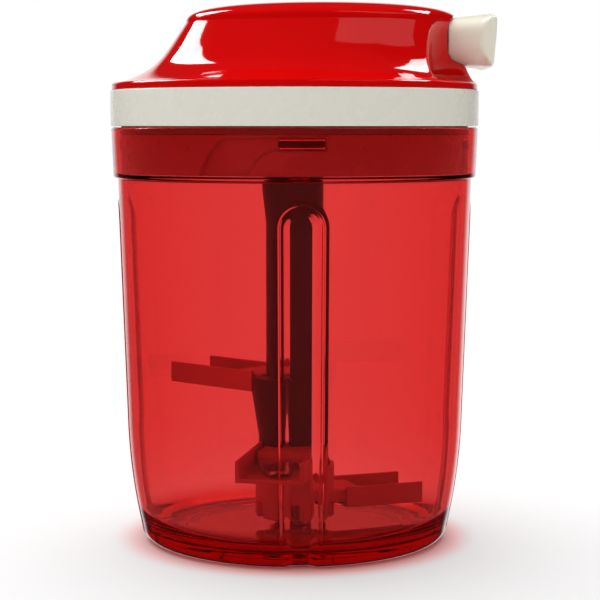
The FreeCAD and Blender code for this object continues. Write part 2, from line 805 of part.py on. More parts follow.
def make_cover():
    """The red cover: a domed shell with two finger scallops and a dock for the handle."""
    cover_floor = band_top + d.lip_height
    lip_radius = band_radius - d.lip_inset
    lip = cylinder("cover_lip", lip_radius, band_top, cover_floor)
    lip_soft = soften("cover_lip_soft", lip, d.lip_round, circle_at(lip_radius, cover_floor))
    dome = dome_loft("dome_outside", 0, 0)
    hollow = dome_loft("dome_inside", d.cover_wall, d.hollow_drop)
    above = crease_height + d.crown_height + PAST
    scallops = []
    hollow_stops = []
    for name, aside in (("near", -d.scallop_aside), ("far", d.scallop_aside)):
        for label, grow, store in (("scallop", 0, scallops), ("scallop_wall", d.cover_wall, hollow_stops)):
            floor = cover_floor + d.scallop_floor - grow
            store.append(cylinder(f"{label}_{name}", d.scallop_radius + grow, floor, above,
                                  band_radius + d.scallop_overhang, aside))
    dock = doc.addObject("Part::Feature", "handle_dock")
    dock.Shape = handle_form(d.handle_clearance.value, d.handle_clearance.value)
    dock_low = cord_height - d.handle_neck_height / 2 - d.handle_clearance - d.cover_wall
    dock_wall = block("dock_wall", (dock_face - d.cover_wall, -band_radius, dock_low),
                      (band_radius + d.handle_length, band_radius, above))
    outside = cut("cover_outside", fuse("cover_bulk", dome, lip_soft), dock, *scallops)
    spigot_inner = cover_spigot_outer - d.spigot_wall
    open_low = cylinder("cover_open", spigot_inner, band_top - PAST, cover_floor + PAST)
    room = cut("cover_room", fuse("cover_hollow", hollow, open_low), dock_wall, *hollow_stops)
    shell = cut("cover_shell", outside, room)
    post_boss = cylinder("post_boss", d.post_boss_radius, reel_top + d.post_boss_gap,
                         crease_height + d.crown_height - PAST)
    bosses = [post_boss]
    holes = [cylinder("post_hole", d.post_radius, reel_top, post_top)]
    for number, spot in enumerate(screw_spots()):
        boss = cylinder(f"cover_boss_{number}", d.screw_boss_radius, band_top, crease_height, *spot)
        bosses.append(common(f"cover_boss_trim_{number}", boss, dome))
        holes.append(cylinder(f"cover_hole_{number}", d.screw_radius, band_top - PAST,
                              plate_bottom + d.screw_length + PAST, *spot))
    holes.append(lengthways("eyelet_hole", d.cord_bore + d.eyelet_wall, dock_face - d.cover_wall - PAST,
                            dock_face + PAST))
    spigot = tube("cover_spigot", cover_spigot_outer, spigot_inner, band_top - d.cover_spigot_depth,
                  band_top + PAST / 2)
    joined = fuse("cover_joined", shell, spigot, *bosses)
    finish(cut("cover_body", joined, *holes), "lid_cover")


def lengthways(name, radius, start, end):
    """A cylinder along the pull axis at the cord's height."""
    rod = doc.addObject("Part::Cylinder", name)
    bind(rod, "Radius", radius)
    bind(rod, "Height", sized(end) - sized(start))
    rod.Placement = Placement(Vector(), Rotation(Vector(0, 1, 0), 90))
    bind(rod, "Placement.Base.x", start)
    bind(rod, "Placement.Base.z", cord_height)
    return rod


def ring_angles(count, offset=0.0):
    """Evenly spaced angles round the axis."""
    return [offset + 360.0 * number / count for number in range(count)]


def make_reel():
    """The cord reel: drum, lower flange, spring arbor and clutch teeth in one, and a separate top flange."""
    teeth = []
    for number, angle in enumerate(ring_angles(DIMENSIONS["clutch_teeth"])):
        teeth.append(sector(f"reel_tooth_{number}", d.clutch_radius, d.clutch_inner,
                            disc_low - d.tooth_height, disc_low + PAST, angle, d.tooth_angle))
    drum = cylinder("reel_drum", d.drum_radius, arbor_top, drum_low + d.drum_height)
    flange = cylinder("reel_flange_low", d.reel_flange_radius, arbor_top, drum_low)
    arbor = cylinder("reel_arbor", d.arbor_radius, disc_low, arbor_top + PAST)
    disc = cylinder("reel_disc", d.clutch_radius, disc_low, cup_floor)
    nose = cylinder("reel_nose", d.reel_nose_radius, drum_low, reel_top)
    bore = cylinder("reel_bore", d.post_radius + d.running_gap, disc_low - PAST, reel_top + PAST)
    finish(cut("reel_body", fuse("reel_joined", drum, flange, arbor, disc, nose, *teeth), bore), "reel")
    drum_high = drum_low + d.drum_height
    finish(tube("reel_top", d.reel_flange_radius, d.reel_nose_radius, drum_high, reel_top), "reel_top_flange")
    finish(tube("wound_cord", d.reel_turn_radius - d.cord_radius - d.cord_layer_gap, d.drum_radius,
                drum_low + d.cord_layer_gap, drum_high - d.cord_layer_gap), "cord_wound")
    finish(cylinder("post", d.post_radius, post_low, post_top), "reel_post")
    clip_top = disc_low - d.clip_gap
    finish(tube("clip", d.clip_radius, d.post_radius, clip_top - d.clip_thickness, clip_top), "reel_clip")


def spiral(radius, growth, turns, height):
    """A spiral curve round the axis at one height."""
    points = []
    steps = int(turns * 24)
    for step in range(steps + 1):
        turn = 2 * math.pi * turns * step / steps
        reach = radius + growth * step / steps
        points.append(Vector(reach * math.cos(turn), reach * math.sin(turn), height))
    curve = Part.BSplineCurve()
    curve.interpolate(points)
    return curve.toShape()


def make_spring_and_cup():
    """The flat power spring that winds the cord back, in a cup that stands on the lid's plate."""
    floor_low = cup_floor - d.cup_wall
    floor = tube("cup_floor", d.cup_radius, d.clutch_radius + d.cup_hole_gap, floor_low, cup_floor)
    wall = tube("cup_side", d.cup_radius, d.cup_radius - d.cup_wall, floor_low, arbor_top - d.cup_top_gap)
    stand = tube("cup_stand", d.cup_stand_radius, d.cup_stand_radius - d.cup_wall, seat, floor_low + PAST)
    finish(fuse("cup_body", floor, wall, stand), "spring_cup")
    inner = d.arbor_radius + d.spring_arbor_gap
    growth = d.cup_radius - d.cup_wall - d.spring_wall_gap - d.spring_strip - inner
    low = spring_low.value
    turns = d.spring_turns.value
    inside = spiral(inner.value, growth.value, turns, low)
    outside = spiral((inner + d.spring_strip).value, growth.value, turns, low)
    first = Part.makeLine(inside.firstVertex().Point, outside.firstVertex().Point)
    last = Part.makeLine(inside.lastVertex().Point, outside.lastVertex().Point)
    strip = Part.Face(Part.Wire([inside, last, outside, first]))
    spring = doc.addObject("Part::Feature", "power_spring_body")
    spring.Shape = strip.extrude(Vector(0, 0, d.spring_height.value))
    finish(spring, "power_spring")


def hexagon(name, radius, low, high):
    """An upright hexagonal prism from one height to another."""
    prism = doc.addObject("Part::Prism", name)
    prism.Polygon = 6
    bind(prism, "Circumradius", radius)
    bind(prism, "Height", sized(high) - sized(low))
    return place(prism, z=low)


def make_clutch():
    """The toothed ring that couples the spindle to the reel, and the coil spring that lifts it."""
    teeth = []
    half_pitch = 180.0 / DIMENSIONS["clutch_teeth"]
    for number, angle in enumerate(ring_angles(DIMENSIONS["clutch_teeth"], half_pitch)):
        teeth.append(sector(f"clutch_tooth_{number}", d.clutch_radius, d.clutch_inner,
                            clutch_top - PAST, clutch_top + d.tooth_height, angle, d.tooth_angle))
    plate = cylinder("clutch_disc", d.clutch_radius, clutch_low, clutch_top)
    socket = hexagon("clutch_socket", d.hex_radius + d.hex_gap, clutch_low - PAST, clutch_top + PAST)
    finish(cut("clutch_body", fuse("clutch_joined", plate, *teeth), socket), "clutch_ring")
    wire = d.clutch_wire_radius.value
    coil_radius = (d.hex_radius + d.clutch_spring_reach).value
    coil_low = (spindle_flange_low + d.spindle_flange + d.clutch_wire_radius).value
    coil_rise = clutch_low.value - wire - coil_low
    helix = Part.makeHelix(coil_rise / d.clutch_spring_turns.value, coil_rise, coil_radius)
    section = Part.Wire([Part.Edge(Part.Circle(Vector(coil_radius, 0, 0), Vector(0, 1, 0), wire))])
    coil = doc.addObject("Part::Feature", "clutch_spring_body")
    coil.Shape = Part.Wire(helix.Edges).makePipeShell([section], True, False)
    coil.Placement = Placement(Vector(0, 0, coil_low), Rotation())
    finish(coil, "clutch_spring")


def make_spindle():
    """The spindle that takes the turning down to the blades, with the bush and the seal that it turns in."""
    flange_top = spindle_flange_low + d.spindle_flange
    journal_low = lid_hub_bottom + d.spindle_end_gap
    journal = cylinder("spindle_journal", d.journal_radius, journal_low, flange_top)
    flange = cylinder("spindle_flange_disc", d.journal_radius + d.spindle_flange_reach, spindle_flange_low,
                      flange_top)
    drive = hexagon("spindle_hex", d.hex_radius, flange_top - PAST / 2, spindle_top)
    bore = cylinder("spindle_bore", d.post_radius + d.running_gap, post_low - d.spindle_end_gap,
                    spindle_top + PAST)
    dog_high = column_top - d.dog_drop
    dog_low = dog_high - d.dog_length
    core = cylinder("dog_core", d.dog_core_radius, dog_low - PAST / 2, journal_low + PAST)
    bar = block("dog_bar", (-d.dog_radius, -d.dog_width / 2, dog_low),
                (d.dog_radius, d.dog_width / 2, dog_high))
    wings = turned("dog_wings", bar, d.dog_azimuth)
    wings_round = common("dog_wings_round", wings, cylinder("dog_round", d.dog_radius, dog_low, dog_high))
    shaft = fuse("spindle_joined", journal, flange, drive, core, wings_round)
    finish(cut("spindle_body", shaft, bore), "drive_spindle")
    outer = d.journal_radius + d.bush_wall
    seal_top = lid_hub_bottom + d.shaft_seal_height
    bush_top = seat + d.bush_flange
    bush_tube = cylinder("bush_tube", outer, seal_top, bush_top)
    bush_rim = cylinder("bush_rim", outer + d.bush_flange_reach, seat, bush_top)
    bush_bore = cylinder("bush_bore", d.journal_radius + d.running_gap, seal_top - PAST, bush_top + PAST)
    finish(cut("bush_body", fuse("bush_joined", bush_tube, bush_rim), bush_bore), "spindle_bush")
    finish(tube("shaft_seal_body", outer, d.journal_radius + d.running_gap, lid_hub_bottom, seal_top),
           "shaft_seal")


def make_arm(name, azimuth, start, height, tip_gap, core_radius):
    """A blade with its tongue in the carrier, and the channel-shaped guard that is pushed over it."""
    reach = body_low_radius - tip_gap
    floor_top = height + d.guard_floor
    half = d.guard_width / 2
    guard_top = height + d.guard_height
    whole = block(f"{name}_channel", (start, -half, height), (reach, half, guard_top))
    hollow = block(f"{name}_hollow", (start - PAST, d.guard_wall - half, floor_top),
                   (reach + PAST, half - d.guard_wall, guard_top + PAST))
    core = cylinder(f"{name}_core", core_radius + d.guard_core_gap, height - PAST, guard_top + PAST)
    finish(turned(f"{name}_guard_turned", cut(f"{name}_guard", whole, hollow, core), azimuth),
           f"blade_guard_{name}")
    tongue = d.root_end - d.blade_tongue
    tip = reach - d.blade_short
    neck = d.blade_neck_reach
    blade_low = floor_top + d.blade_lift
    blade = padded(f"{name}_blade", "XY_Plane", [
        (tongue, -neck),
        (d.root_end, -neck),
        (d.root_end + d.blade_step, -d.blade_edge_reach),
        (tip, 0, d.blade_curve),
        (tip - d.blade_point_length, d.blade_point_reach),
        (d.root_end + d.blade_step, d.blade_back_reach),
        (d.root_end, neck),
        (tongue, neck),
    ], d.blade_thickness)
    place(blade, z=blade_low)
    finish(turned(f"{name}_blade_turned", blade, azimuth), f"blade_{name}")
    root_low = floor_top + d.root_lift
    root = block(f"{name}_root", (d.root_start, -d.root_width / 2, root_low),
                 (d.root_end, d.root_width / 2, root_low + d.root_height))
    slot = block(f"{name}_slot", (tongue, -neck, blade_low),
                 (d.root_end + PAST, neck, blade_low + d.blade_thickness))
    return turned(f"{name}_root_turned", cut(f"{name}_root_slotted", root, slot), azimuth)


def make_blade_unit():
    """The carrier that turns on the pivot pin, with three arms at three heights."""
    base = d.floor_height + d.hub_clearance
    roots = [
        make_arm("upper", d.upper_azimuth, d.upper_start, d.upper_height, d.upper_tip_gap,
                 d.shoulder_radius),
        make_arm("middle", d.middle_azimuth, d.middle_start, d.middle_height, d.middle_tip_gap,
                 d.waist_radius),
        make_arm("lower", d.lower_azimuth, d.lower_start, d.lower_height, d.lower_tip_gap,
                 d.hub_radius),
    ]
    form = revolved("carrier_form", [
        (0, base),
        (d.hub_radius, base),
        (d.hub_radius, base + d.hub_height),
        (d.waist_radius, base + d.hub_height),
        (d.waist_radius, d.waist_height),
        (d.shoulder_radius, d.shoulder_height),
        (d.shoulder_radius, d.ledge_height),
        (d.column_radius, d.ledge_height),
        (d.column_radius, column_top - d.column_flare_drop - d.column_flare_length),
        (d.column_top_radius, column_top - d.column_flare_drop),
        (d.column_top_radius, column_top),
        (0, column_top),
    ])
    skirt_room = cylinder("hub_skirt_room", d.hub_radius - d.hub_skirt_wall, base - PAST,
                          base + d.hub_skirt_height)
    bush_low = boss_top + d.bush_boss_gap
    bush_top = bush_low + d.bush_length
    bush_hole = cylinder("pivot_bush_hole", d.bush_radius, base - PAST, bush_top)
    tip_room = cylinder("pivot_tip_room", d.pivot_pin_radius + d.running_gap, bush_top - PAST,
                        pin_top + d.pin_tip_gap)
    bore = cylinder("column_bore_hole", d.column_bore, bush_top + d.column_floor, column_top + PAST)
    slot = block("hub_slot", (d.hub_radius - d.hub_skirt_wall - PAST, -d.hub_slot_width / 2, base - PAST),
                 (d.hub_radius + PAST, d.hub_slot_width / 2, base + d.hub_skirt_height))
    slots = []
    for number, angle in enumerate(ring_angles(DIMENSIONS["hub_slots"], DIMENSIONS["hub_slot_offset"])):
        slots.append(turned(f"hub_slot_turned_{number}", slot, angle))
    rib_high = column_top - d.socket_rib_drop
    ribs = []
    for number, angle in enumerate(ring_angles(2)):
        ribs.append(sector(f"socket_rib_{number}", d.column_bore + PAST, d.column_bore - d.socket_rib_reach,
                           rib_high - d.socket_rib_height, rib_high, angle, d.socket_rib_angle))
    joined = fuse("carrier_joined", form, *roots)
    hollowed = cut("carrier_hollowed", joined, skirt_room, bush_hole, tip_room, bore, *slots)
    finish(fuse("carrier_body", hollowed, *ribs), "blade_carrier")
    finish(tube("pivot_bush_body", d.bush_radius, d.pivot_pin_radius + d.running_gap, bush_low, bush_top),
           "pivot_bush")


def make_handle():
    """The ivory pull handle that sits in the dock, with the knot's pocket and its cap."""
    form = doc.addObject("Part::Feature", "handle_form")
    form.Shape = handle_form(0, 0)
    half = d.handle_width / 2
    end = handle_start + d.handle_length
    low = cord_height - d.handle_width
    high = cord_height + d.handle_width
    sides = block("handle_sides", (0, -half, low), (end + PAST, half, high))
    size = d.handle_width * 3
    outer = doc.addObject("Part::Box", "handle_outer_face")
    bind(outer, "Length", d.handle_width)
    bind(outer, "Width", size)
    bind(outer, "Height", size)
    outer.Placement = Placement(Vector(), Rotation(Vector(0, 1, 0), d.handle_tilt.value))
    slant = sine(d.handle_tilt) / cosine(d.handle_tilt)
    bind(outer, "Placement.Base.x", end - d.handle_end_setback - size / 2 * slant)
    bind(outer, "Placement.Base.y", -size / 2)
    bind(outer, "Placement.Base.z", cord_height - size / 2)
    bind(outer, "Placement.Rotation.Angle", d.handle_tilt)
    bore = lengthways("handle_bore", d.cord_radius + d.cord_hole_gap, handle_start - PAST, knot_low + PAST)
    cap_start = end - d.handle_cap_depth
    pocket = lengthways("knot_pocket", d.knot_radius + d.knot_gap, knot_low - d.knot_seat_gap,
                        cap_start + PAST)
    cap_hole = lengthways("cap_hole", d.handle_cap_radius, cap_start, end + PAST)
    trimmed = cut("handle_trimmed", common("handle_between", form, sides), outer)
    finish(cut("handle_body", trimmed, bore, pocket, cap_hole), "pull_handle")
    plug = lengthways("cap_plug", d.handle_cap_radius, cap_start, end + PAST)
    finish(cut("cap_body", plug, outer), "handle_cap")
    knot = doc.addObject("Part::Sphere", "knot_ball")
    bind(knot, "Radius", d.knot_radius)
    place(knot, x=knot_low + d.knot_radius, z=cord_height)
    finish(knot, "cord_knot")


def make_cord():
    """The stretch of cord from the reel through the eyelet to the knot in the handle."""
    height = cord_height.value
    bend = handle_start.value - d.cord_bend_inset.value
    turn_radius = d.reel_turn_radius.value
    lean = math.acos(turn_radius / bend)
    start = Vector(turn_radius * math.cos(lean), turn_radius * math.sin(lean), height)
    corner = Vector(bend, 0, height)
    turn = math.pi / 2 - lean
    set_back = d.cord_bend.value * math.tan(turn / 2)
    way_in = (corner - start).normalize()
    arc_start = corner - way_in * set_back
    arc_end = corner + Vector(set_back, 0, 0)
    inner = (way_in * -1 + Vector(1, 0, 0)).normalize()
    arc_middle = corner + inner * (d.cord_bend.value / math.cos(turn / 2) - d.cord_bend.value)
    end = Vector(knot_low.value, 0, height)
    path = Part.Wire([
        Part.makeLine(start, arc_start),
        Part.Arc(arc_start, arc_middle, arc_end).toShape(),
        Part.makeLine(arc_end, end),
    ])
    section = Part.Wire([Part.Edge(Part.Circle(start, way_in, d.cord_radius.value))])
    cord = doc.addObject("Part::Feature", "cord_lead_body")
    cord.Shape = path.makePipeShell([section], True, False)
    finish(cord, "cord_lead")
    expected = path.Length * math.pi * d.cord_radius.value ** 2
    print(f"cord lead {path.Length:.1f} mm, bend radius {d.cord_bend.value:.1f} mm, "
          f"volume {cord.Shape.Volume:.1f} of {expected:.1f} mm3")
    inner_face = dock_face - d.cover_wall
    rim_start = inner_face - d.eyelet_rim
    sleeve = lengthways("eyelet_sleeve", d.cord_bore + d.eyelet_wall, rim_start, dock_face)
    rim = lengthways("eyelet_rim", d.cord_bore + d.eyelet_rim_reach, rim_start, inner_face)
    hole = lengthways("eyelet_bore", d.cord_bore, rim_start - PAST, dock_face + PAST)
    finish(cut("eyelet_body", fuse("eyelet_joined", sleeve, rim), hole), "cord_eyelet")


def make_screws():
    """Four screws that hold the cover and the base together from below."""
    screws = []
    for number, spot in enumerate(screw_spots()):
        head = cylinder(f"screw_head_{number}", d.screw_head_radius, plate_bottom,
                        plate_bottom + d.screw_head_height, *spot)
        shank = cylinder(f"screw_shank_{number}", d.screw_radius, plate_bottom,
                         plate_bottom + d.screw_length, *spot)
        screws.append(fuse(f"screw_{number}", head, shank))
    group = doc.addObject("Part::Compound", "screw_group")
    group.Links = screws
    finish(group, "lid_screws")


def check_and_export():
    """Stop on any failed object or bad shape, then write each piece to its own file."""
    doc.recompute()
    failed = [thing.Name for thing in doc.Objects if "Invalid" in thing.State or "Error" in thing.State]
    for piece in nodes:
        if piece.Shape.isNull() or not piece.Shape.isValid() or not piece.Shape.Solids:
            failed.append(piece.Label)
    if failed:
        raise RuntimeError("failed: " + ", ".join(failed))
    os.makedirs("parts", exist_ok=True)
    for piece in nodes:
        piece.Shape.exportStep(os.path.join("parts", piece.Label + ".step"))
        box = piece.Shape.BoundBox
        print(f"{piece.Label:20} {len(piece.Shape.Solids)} solids {piece.Shape.Volume:10.1f} mm3 "
              f"z {box.ZMin:7.2f} to {box.ZMax:7.2f}")


make_container()
make_lid_base()
make_band()
make_cover()
make_reel()
make_spring_and_cup()
make_clutch()
make_spindle()
make_blade_unit()
make_handle()
make_cord()
make_screws()
check_and_export()
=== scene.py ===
import math
from itertools import product

import bpy
import numpy as np
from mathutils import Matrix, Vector


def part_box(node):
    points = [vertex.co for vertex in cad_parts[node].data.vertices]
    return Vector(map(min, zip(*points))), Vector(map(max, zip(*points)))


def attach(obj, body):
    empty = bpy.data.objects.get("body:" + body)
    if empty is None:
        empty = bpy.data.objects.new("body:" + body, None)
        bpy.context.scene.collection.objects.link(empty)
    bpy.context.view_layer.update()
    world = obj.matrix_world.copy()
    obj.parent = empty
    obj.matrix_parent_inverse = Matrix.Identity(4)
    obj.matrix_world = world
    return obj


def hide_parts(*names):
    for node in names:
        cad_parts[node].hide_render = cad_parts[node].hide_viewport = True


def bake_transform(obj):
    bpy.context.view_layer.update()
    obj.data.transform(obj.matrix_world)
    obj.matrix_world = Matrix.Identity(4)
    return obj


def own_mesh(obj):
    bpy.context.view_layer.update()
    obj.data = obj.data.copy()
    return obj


# Lengths are in millimetres while a mesh is being worked out, and in metres in the scene
MM = 0.001

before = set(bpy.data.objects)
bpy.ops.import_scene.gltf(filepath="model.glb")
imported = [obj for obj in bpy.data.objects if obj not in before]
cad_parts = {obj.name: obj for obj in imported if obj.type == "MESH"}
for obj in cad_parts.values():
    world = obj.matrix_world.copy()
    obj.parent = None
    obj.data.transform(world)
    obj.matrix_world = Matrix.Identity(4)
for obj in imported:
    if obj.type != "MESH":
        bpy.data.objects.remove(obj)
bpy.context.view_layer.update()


def millimetres(node):
    """Lowest and highest corner of a CAD node, in millimetres."""
    low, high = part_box(node)
    return low / MM, high / MM


# Main sizes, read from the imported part
container_low, container_high = millimetres("container")
band_low, band_high = millimetres("lid_band")
lid_base_low = millimetres("lid_base")[0]
carrier_low, carrier_high = millimetres("blade_carrier")
handle_low, handle_high = millimetres("pull_handle")
pin_low, pin_high = millimetres("pivot_pin")
ring_high = millimetres("base_ring")[1]

COLLAR_RADIUS = container_high.y
RIM = container_high.z
FOOT = container_low.z
BAND_RADIUS = band_high.y
SEAT = band_low.z
BAND_TOP = band_high.z
CORD_HEIGHT = (handle_low.z + handle_high.z) / 2

# Container, as in the part
COLLAR_INNER = COLLAR_RADIUS - 2.9
COLLAR_BOTTOM = RIM - 18.3
TAPER = 3.0
WALL_TOP = COLLAR_RADIUS - 2.3
WALL_LOW = WALL_TOP - TAPER
BELLY = 47.0
BOW_RADIUS = 206.0
HEEL = WALL_LOW - 5.2
HEEL_TOP = 5.0
HEEL_ROUNDING = 4.6
FOOT_WIDTH = 12.0
FOOT_RING_WIDTH = 4.0
WALL = 2.8
BOWL_INSET = 2.4
FLOOR = 5.2
FLOOR_WALL = 2.8
FLOOR_CORNER = 10.0
BOSS_RADIUS = 6.5
BOSS_TOP = FLOOR + 6.2

# Flutes, the ribs inside them and the lugs that hold the lid
FLUTE_TURN = math.radians(-87.6)
FLUTE_HALF = 7.0
FLUTE_FLOOR = 2.9
FLUTE_DEPTH = 2.5
RIB_HEIGHT = 2.3
RIB_TOP = 2.2
RIB_HALF = 9.6
BEAD_HEIGHT = 0.3
BEAD_WIDTH = 0.35
FLUTE_TOP = COLLAR_BOTTOM - 8.5 - FLUTE_HALF
LUG_TOP = RIM - 4.1
LUG_HEIGHT = 3.0
LUG_REACH = 2.4
LUG_HALF_ANGLE = 6.65

# Lid base, and the clutch inside it
SKIRT_RADIUS = COLLAR_INNER - 0.8
SKIRT_WALL = 3.8
GROOVE_DEPTH = 1.9
LUG_POCKET = 1.6

# Cover
LIP_RADIUS = BAND_RADIUS - 0.5
LEDGE = BAND_TOP + 2.7
CREASE = BAND_TOP + 24.7
CROWN = 7.0
OVAL_SHIFT = 10.0
OVAL_LENGTH = BAND_RADIUS - 17.8
OVAL_WIDTH = BAND_RADIUS - 32.6
FLANGE_RADIUS = BAND_RADIUS - 1.1
SCALLOP_RADIUS = 22.5
SCALLOP_ALONG = BAND_RADIUS + 2.4
SCALLOP_ASIDE = 31.0

# Handle
HANDLE_START = BAND_RADIUS - 12.1
HANDLE_LENGTH = 18.2
HANDLE_GAP = 0.4
HANDLE_SIDE = 22.0
HANDLE_LEAN = math.tan(math.radians(5))
HANDLE_SETBACK = 1.9
LOWER_ROUNDING = 1.0
UPPER_ROUNDING = 3.6
NECK_HALF_WIDTH = 13.8
NECK_HALF_HEIGHT = 8.3
WIDTH_FLARE = 0.745
HEIGHT_GAIN = 2.1

# Cord
CORD_RADIUS = 1.0
CORD_BEND_RADIUS = 12.0
CORD_BEND_INSET = 5.5

# Blade carrier
ARM_AZIMUTHS = {"upper": 140.0, "middle": 260.0, "lower": 20.0}
SHOULDER_TURN = math.radians(175)
COLUMN_RADIUS = 10.6
HUB_RADIUS = 14.75
HUB_TOP = 28.4
SLOT_TURN = math.radians(30)
SLOT_HALF = 2.0


def smooth_step(low, high, value):
    """0 below low, 1 above high, and a soft curve between them."""
    share = np.clip((value - low) / (high - low), 0, 1)
    return share * share * (3 - 2 * share)


def wrapped(angle):
    """The angle brought between minus and plus half a turn."""
    return (angle + math.pi) % (2 * math.pi) - math.pi


def smooth_max(first, second, radius):
    """The larger of two fields, with the edge between them rounded."""
    blend = np.maximum(radius - np.abs(first - second), 0)
    return np.maximum(first, second) + blend * blend / (4 * radius)


def smooth_min(first, second, radius):
    """The smaller of two fields, with the corner between them filled."""
    return -smooth_max(-first, -second, radius)


# Meshes


def make_object(name, points, faces, body, material, normals=None, replaced=()):
    """A smooth-shaded object from points in millimetres, riding on a body and standing for CAD nodes."""
    mesh = bpy.data.meshes.new(name)
    mesh.from_pydata((np.asarray(points, float) * MM).tolist(), [], faces)
    mesh.validate()
    mesh.shade_smooth()
    if normals is not None:
        mesh.normals_split_custom_set_from_vertices(normals.tolist())
    thing = bpy.data.objects.new(name, mesh)
    bpy.context.scene.collection.objects.link(thing)
    mesh.materials.append(material)
    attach(thing, body)
    if replaced:
        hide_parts(*replaced)
    return thing


def rounded_path(corners, step):
    """Points at most a step apart along runs whose corners (radius, height, rounding) are arcs."""
    points = []
    count = len(corners)
    for number, (across, up, rounding) in enumerate(corners):
        here = np.array([across, up], float)
        if rounding <= 0 or number in (0, count - 1):
            points.append(here)
            continue
        before = np.array(corners[number - 1][:2], float) - here
        after = np.array(corners[number + 1][:2], float) - here
        before_length = np.linalg.norm(before)
        after_length = np.linalg.norm(after)
        before /= before_length
        after /= after_length
        half = math.acos(np.clip(before @ after, -1, 1)) / 2
        reach = min(rounding / math.tan(half), before_length * 0.49, after_length * 0.49)
        radius = reach * math.tan(half)
        middle = here + (before + after) / np.linalg.norm(before + after) * radius / math.sin(half)
        start = here + before * reach - middle
        end = here + after * reach - middle
        turn = wrapped(math.atan2(end[1], end[0]) - math.atan2(start[1], start[0]))
        pieces = max(3, math.ceil(abs(turn) / math.radians(12)))
        for piece in range(pieces + 1):
            angle = math.atan2(start[1], start[0]) + turn * piece / pieces
            points.append(middle + radius * np.array([math.cos(angle), math.sin(angle)]))
    filled = [points[0]]
    for point in points[1:]:
        gap = np.linalg.norm(point - filled[-1])
        extra = int(gap / step)
        start = filled[-1]
        for piece in range(1, extra + 1):
            filled.append(start + (point - start) * piece / (extra + 1))
        filled.append(point)
    return np.array(filled)


def goes_round_forward(path):
    """Whether a path of (radius, height) goes out below and in above, so that its faces look out."""
    ahead = np.roll(path, -1, axis=0)
    return np.sum(path[:, 0] * ahead[:, 1] - ahead[:, 0] * path[:, 1]) > 0


def even_turns(count):
    """Angles evenly spaced round a full turn."""
    return np.arange(count) * 2 * math.pi / count


def ring_faces(rows, columns, closed=False):
    """Faces between rings of points that follow each other, and between the last and first if closed."""
    faces = []
    for row in range(rows if closed else rows - 1):
        low = row * columns
        high = (row + 1) % rows * columns
        for column in range(columns):
            following = (column + 1) % columns
            faces.append((low + column, low + following, high + following, high + column))
    return faces


def turned_mesh(path, azimuths, shape=None, closed=False):
    """Points and faces of a path of (radius, height) turned round the axis, its radii changed by shape."""
    if not goes_round_forward(path):
        path = path[::-1]
    across, turn = np.meshgrid(path[:, 0], azimuths, indexing="ij")
    up = np.meshgrid(path[:, 1], azimuths, indexing="ij")[0]
    if shape is not None:
        across = shape(across, up, turn)
    points = np.stack([across * np.cos(turn), across * np.sin(turn), up], axis=-1).reshape(-1, 3)
    return merge_axis(points, ring_faces(len(path), len(azimuths), closed))


def merge_axis(points, faces):
    """The same mesh with all the points of a ring that lie on the axis made one, and no empty faces."""
    keys = np.round(points / 1e-5).astype(np.int64)
    _, first, index = np.unique(keys, axis=0, return_index=True, return_inverse=True)
    index = index.reshape(-1)
    merged = []
    for face in faces:
        corners = []
        for corner in face:
            if index[corner] not in corners:
                corners.append(int(index[corner]))
        if len(corners) > 2:
            merged.append(tuple(corners))
    return points[first], merged


def surface(field, low, high, cell):
    """Points, faces and normals of the surface where a field is zero; the field is negative inside."""
    axes = [np.arange(start, end + cell, cell) for start, end in zip(low, high)]
    values = field(*np.meshgrid(*axes, indexing="ij"))
    inside = values < 0
    size = values.shape
    counted = np.zeros([n - 1 for n in size], int)
    centre = np.zeros([n - 1 for n in size] + [3])
    crossings = np.zeros([n - 1 for n in size])

    def corner(array, offset):
        """The values at one of the eight corners of every cell."""
        return array[tuple(slice(o, n - 1 + o) for o, n in zip(offset, size))]

    offsets = list(product((0, 1), repeat=3))
    for offset in offsets:
        counted += corner(inside, offset)
    for first, second in product(offsets, offsets):
        step = [b - a for a, b in zip(first, second)]
        if sorted(step) != [0, 0, 1]:
            continue
        start, end = corner(values, first), corner(values, second)
        crossed = (start < 0) != (end < 0)
        share = np.where(crossed, start / np.where(crossed, start - end, 1), 0)
        crossings += crossed
        for axis in range(3):
            centre[..., axis] += crossed * (first[axis] + share * step[axis])
    active = (counted > 0) & (counted < 8)
    numbers = -np.ones(active.shape, int)
    numbers[active] = np.arange(active.sum())
    places = np.argwhere(active) + centre[active] / crossings[active][:, None]
    points = places * cell + np.array([a[0] for a in axes])
    faces = []
    for axis in range(3):
        others = [a for a in range(3) if a != axis]
        here = [slice(1, -1) if a in others else slice(0, -1) for a in range(3)]
        ahead = [slice(1, -1) if a in others else slice(1, None) for a in range(3)]
        start, end = inside[tuple(here)], inside[tuple(ahead)]
        for way in (True, False):
            spots = np.argwhere((start == way) & (end != way))
            for other in others:
                spots[:, other] += 1
            ring = []
            for one, two in ((0, 0), (1, 0), (1, 1), (0, 1)):
                cells = spots.copy()
                cells[:, others[0]] -= one
                cells[:, others[1]] -= two
                ring.append(numbers[cells[:, 0], cells[:, 1], cells[:, 2]])
            quads = np.stack(ring, axis=-1)
            if way == (axis == 1):
                quads = quads[:, ::-1]
            faces.append(quads)
    points, normals = settled(field, points)
    return points, np.concatenate(faces).tolist(), normals


def slope(field, points, reach=0.02):
    """The field's steepest way at each point."""
    sides = []
    for axis in range(3):
        shift = np.zeros(3)
        shift[axis] = reach
        ahead = field(*(points + shift).T)
        behind = field(*(points - shift).T)
        sides.append((ahead - behind) / (2 * reach))
    return np.stack(sides, axis=-1)


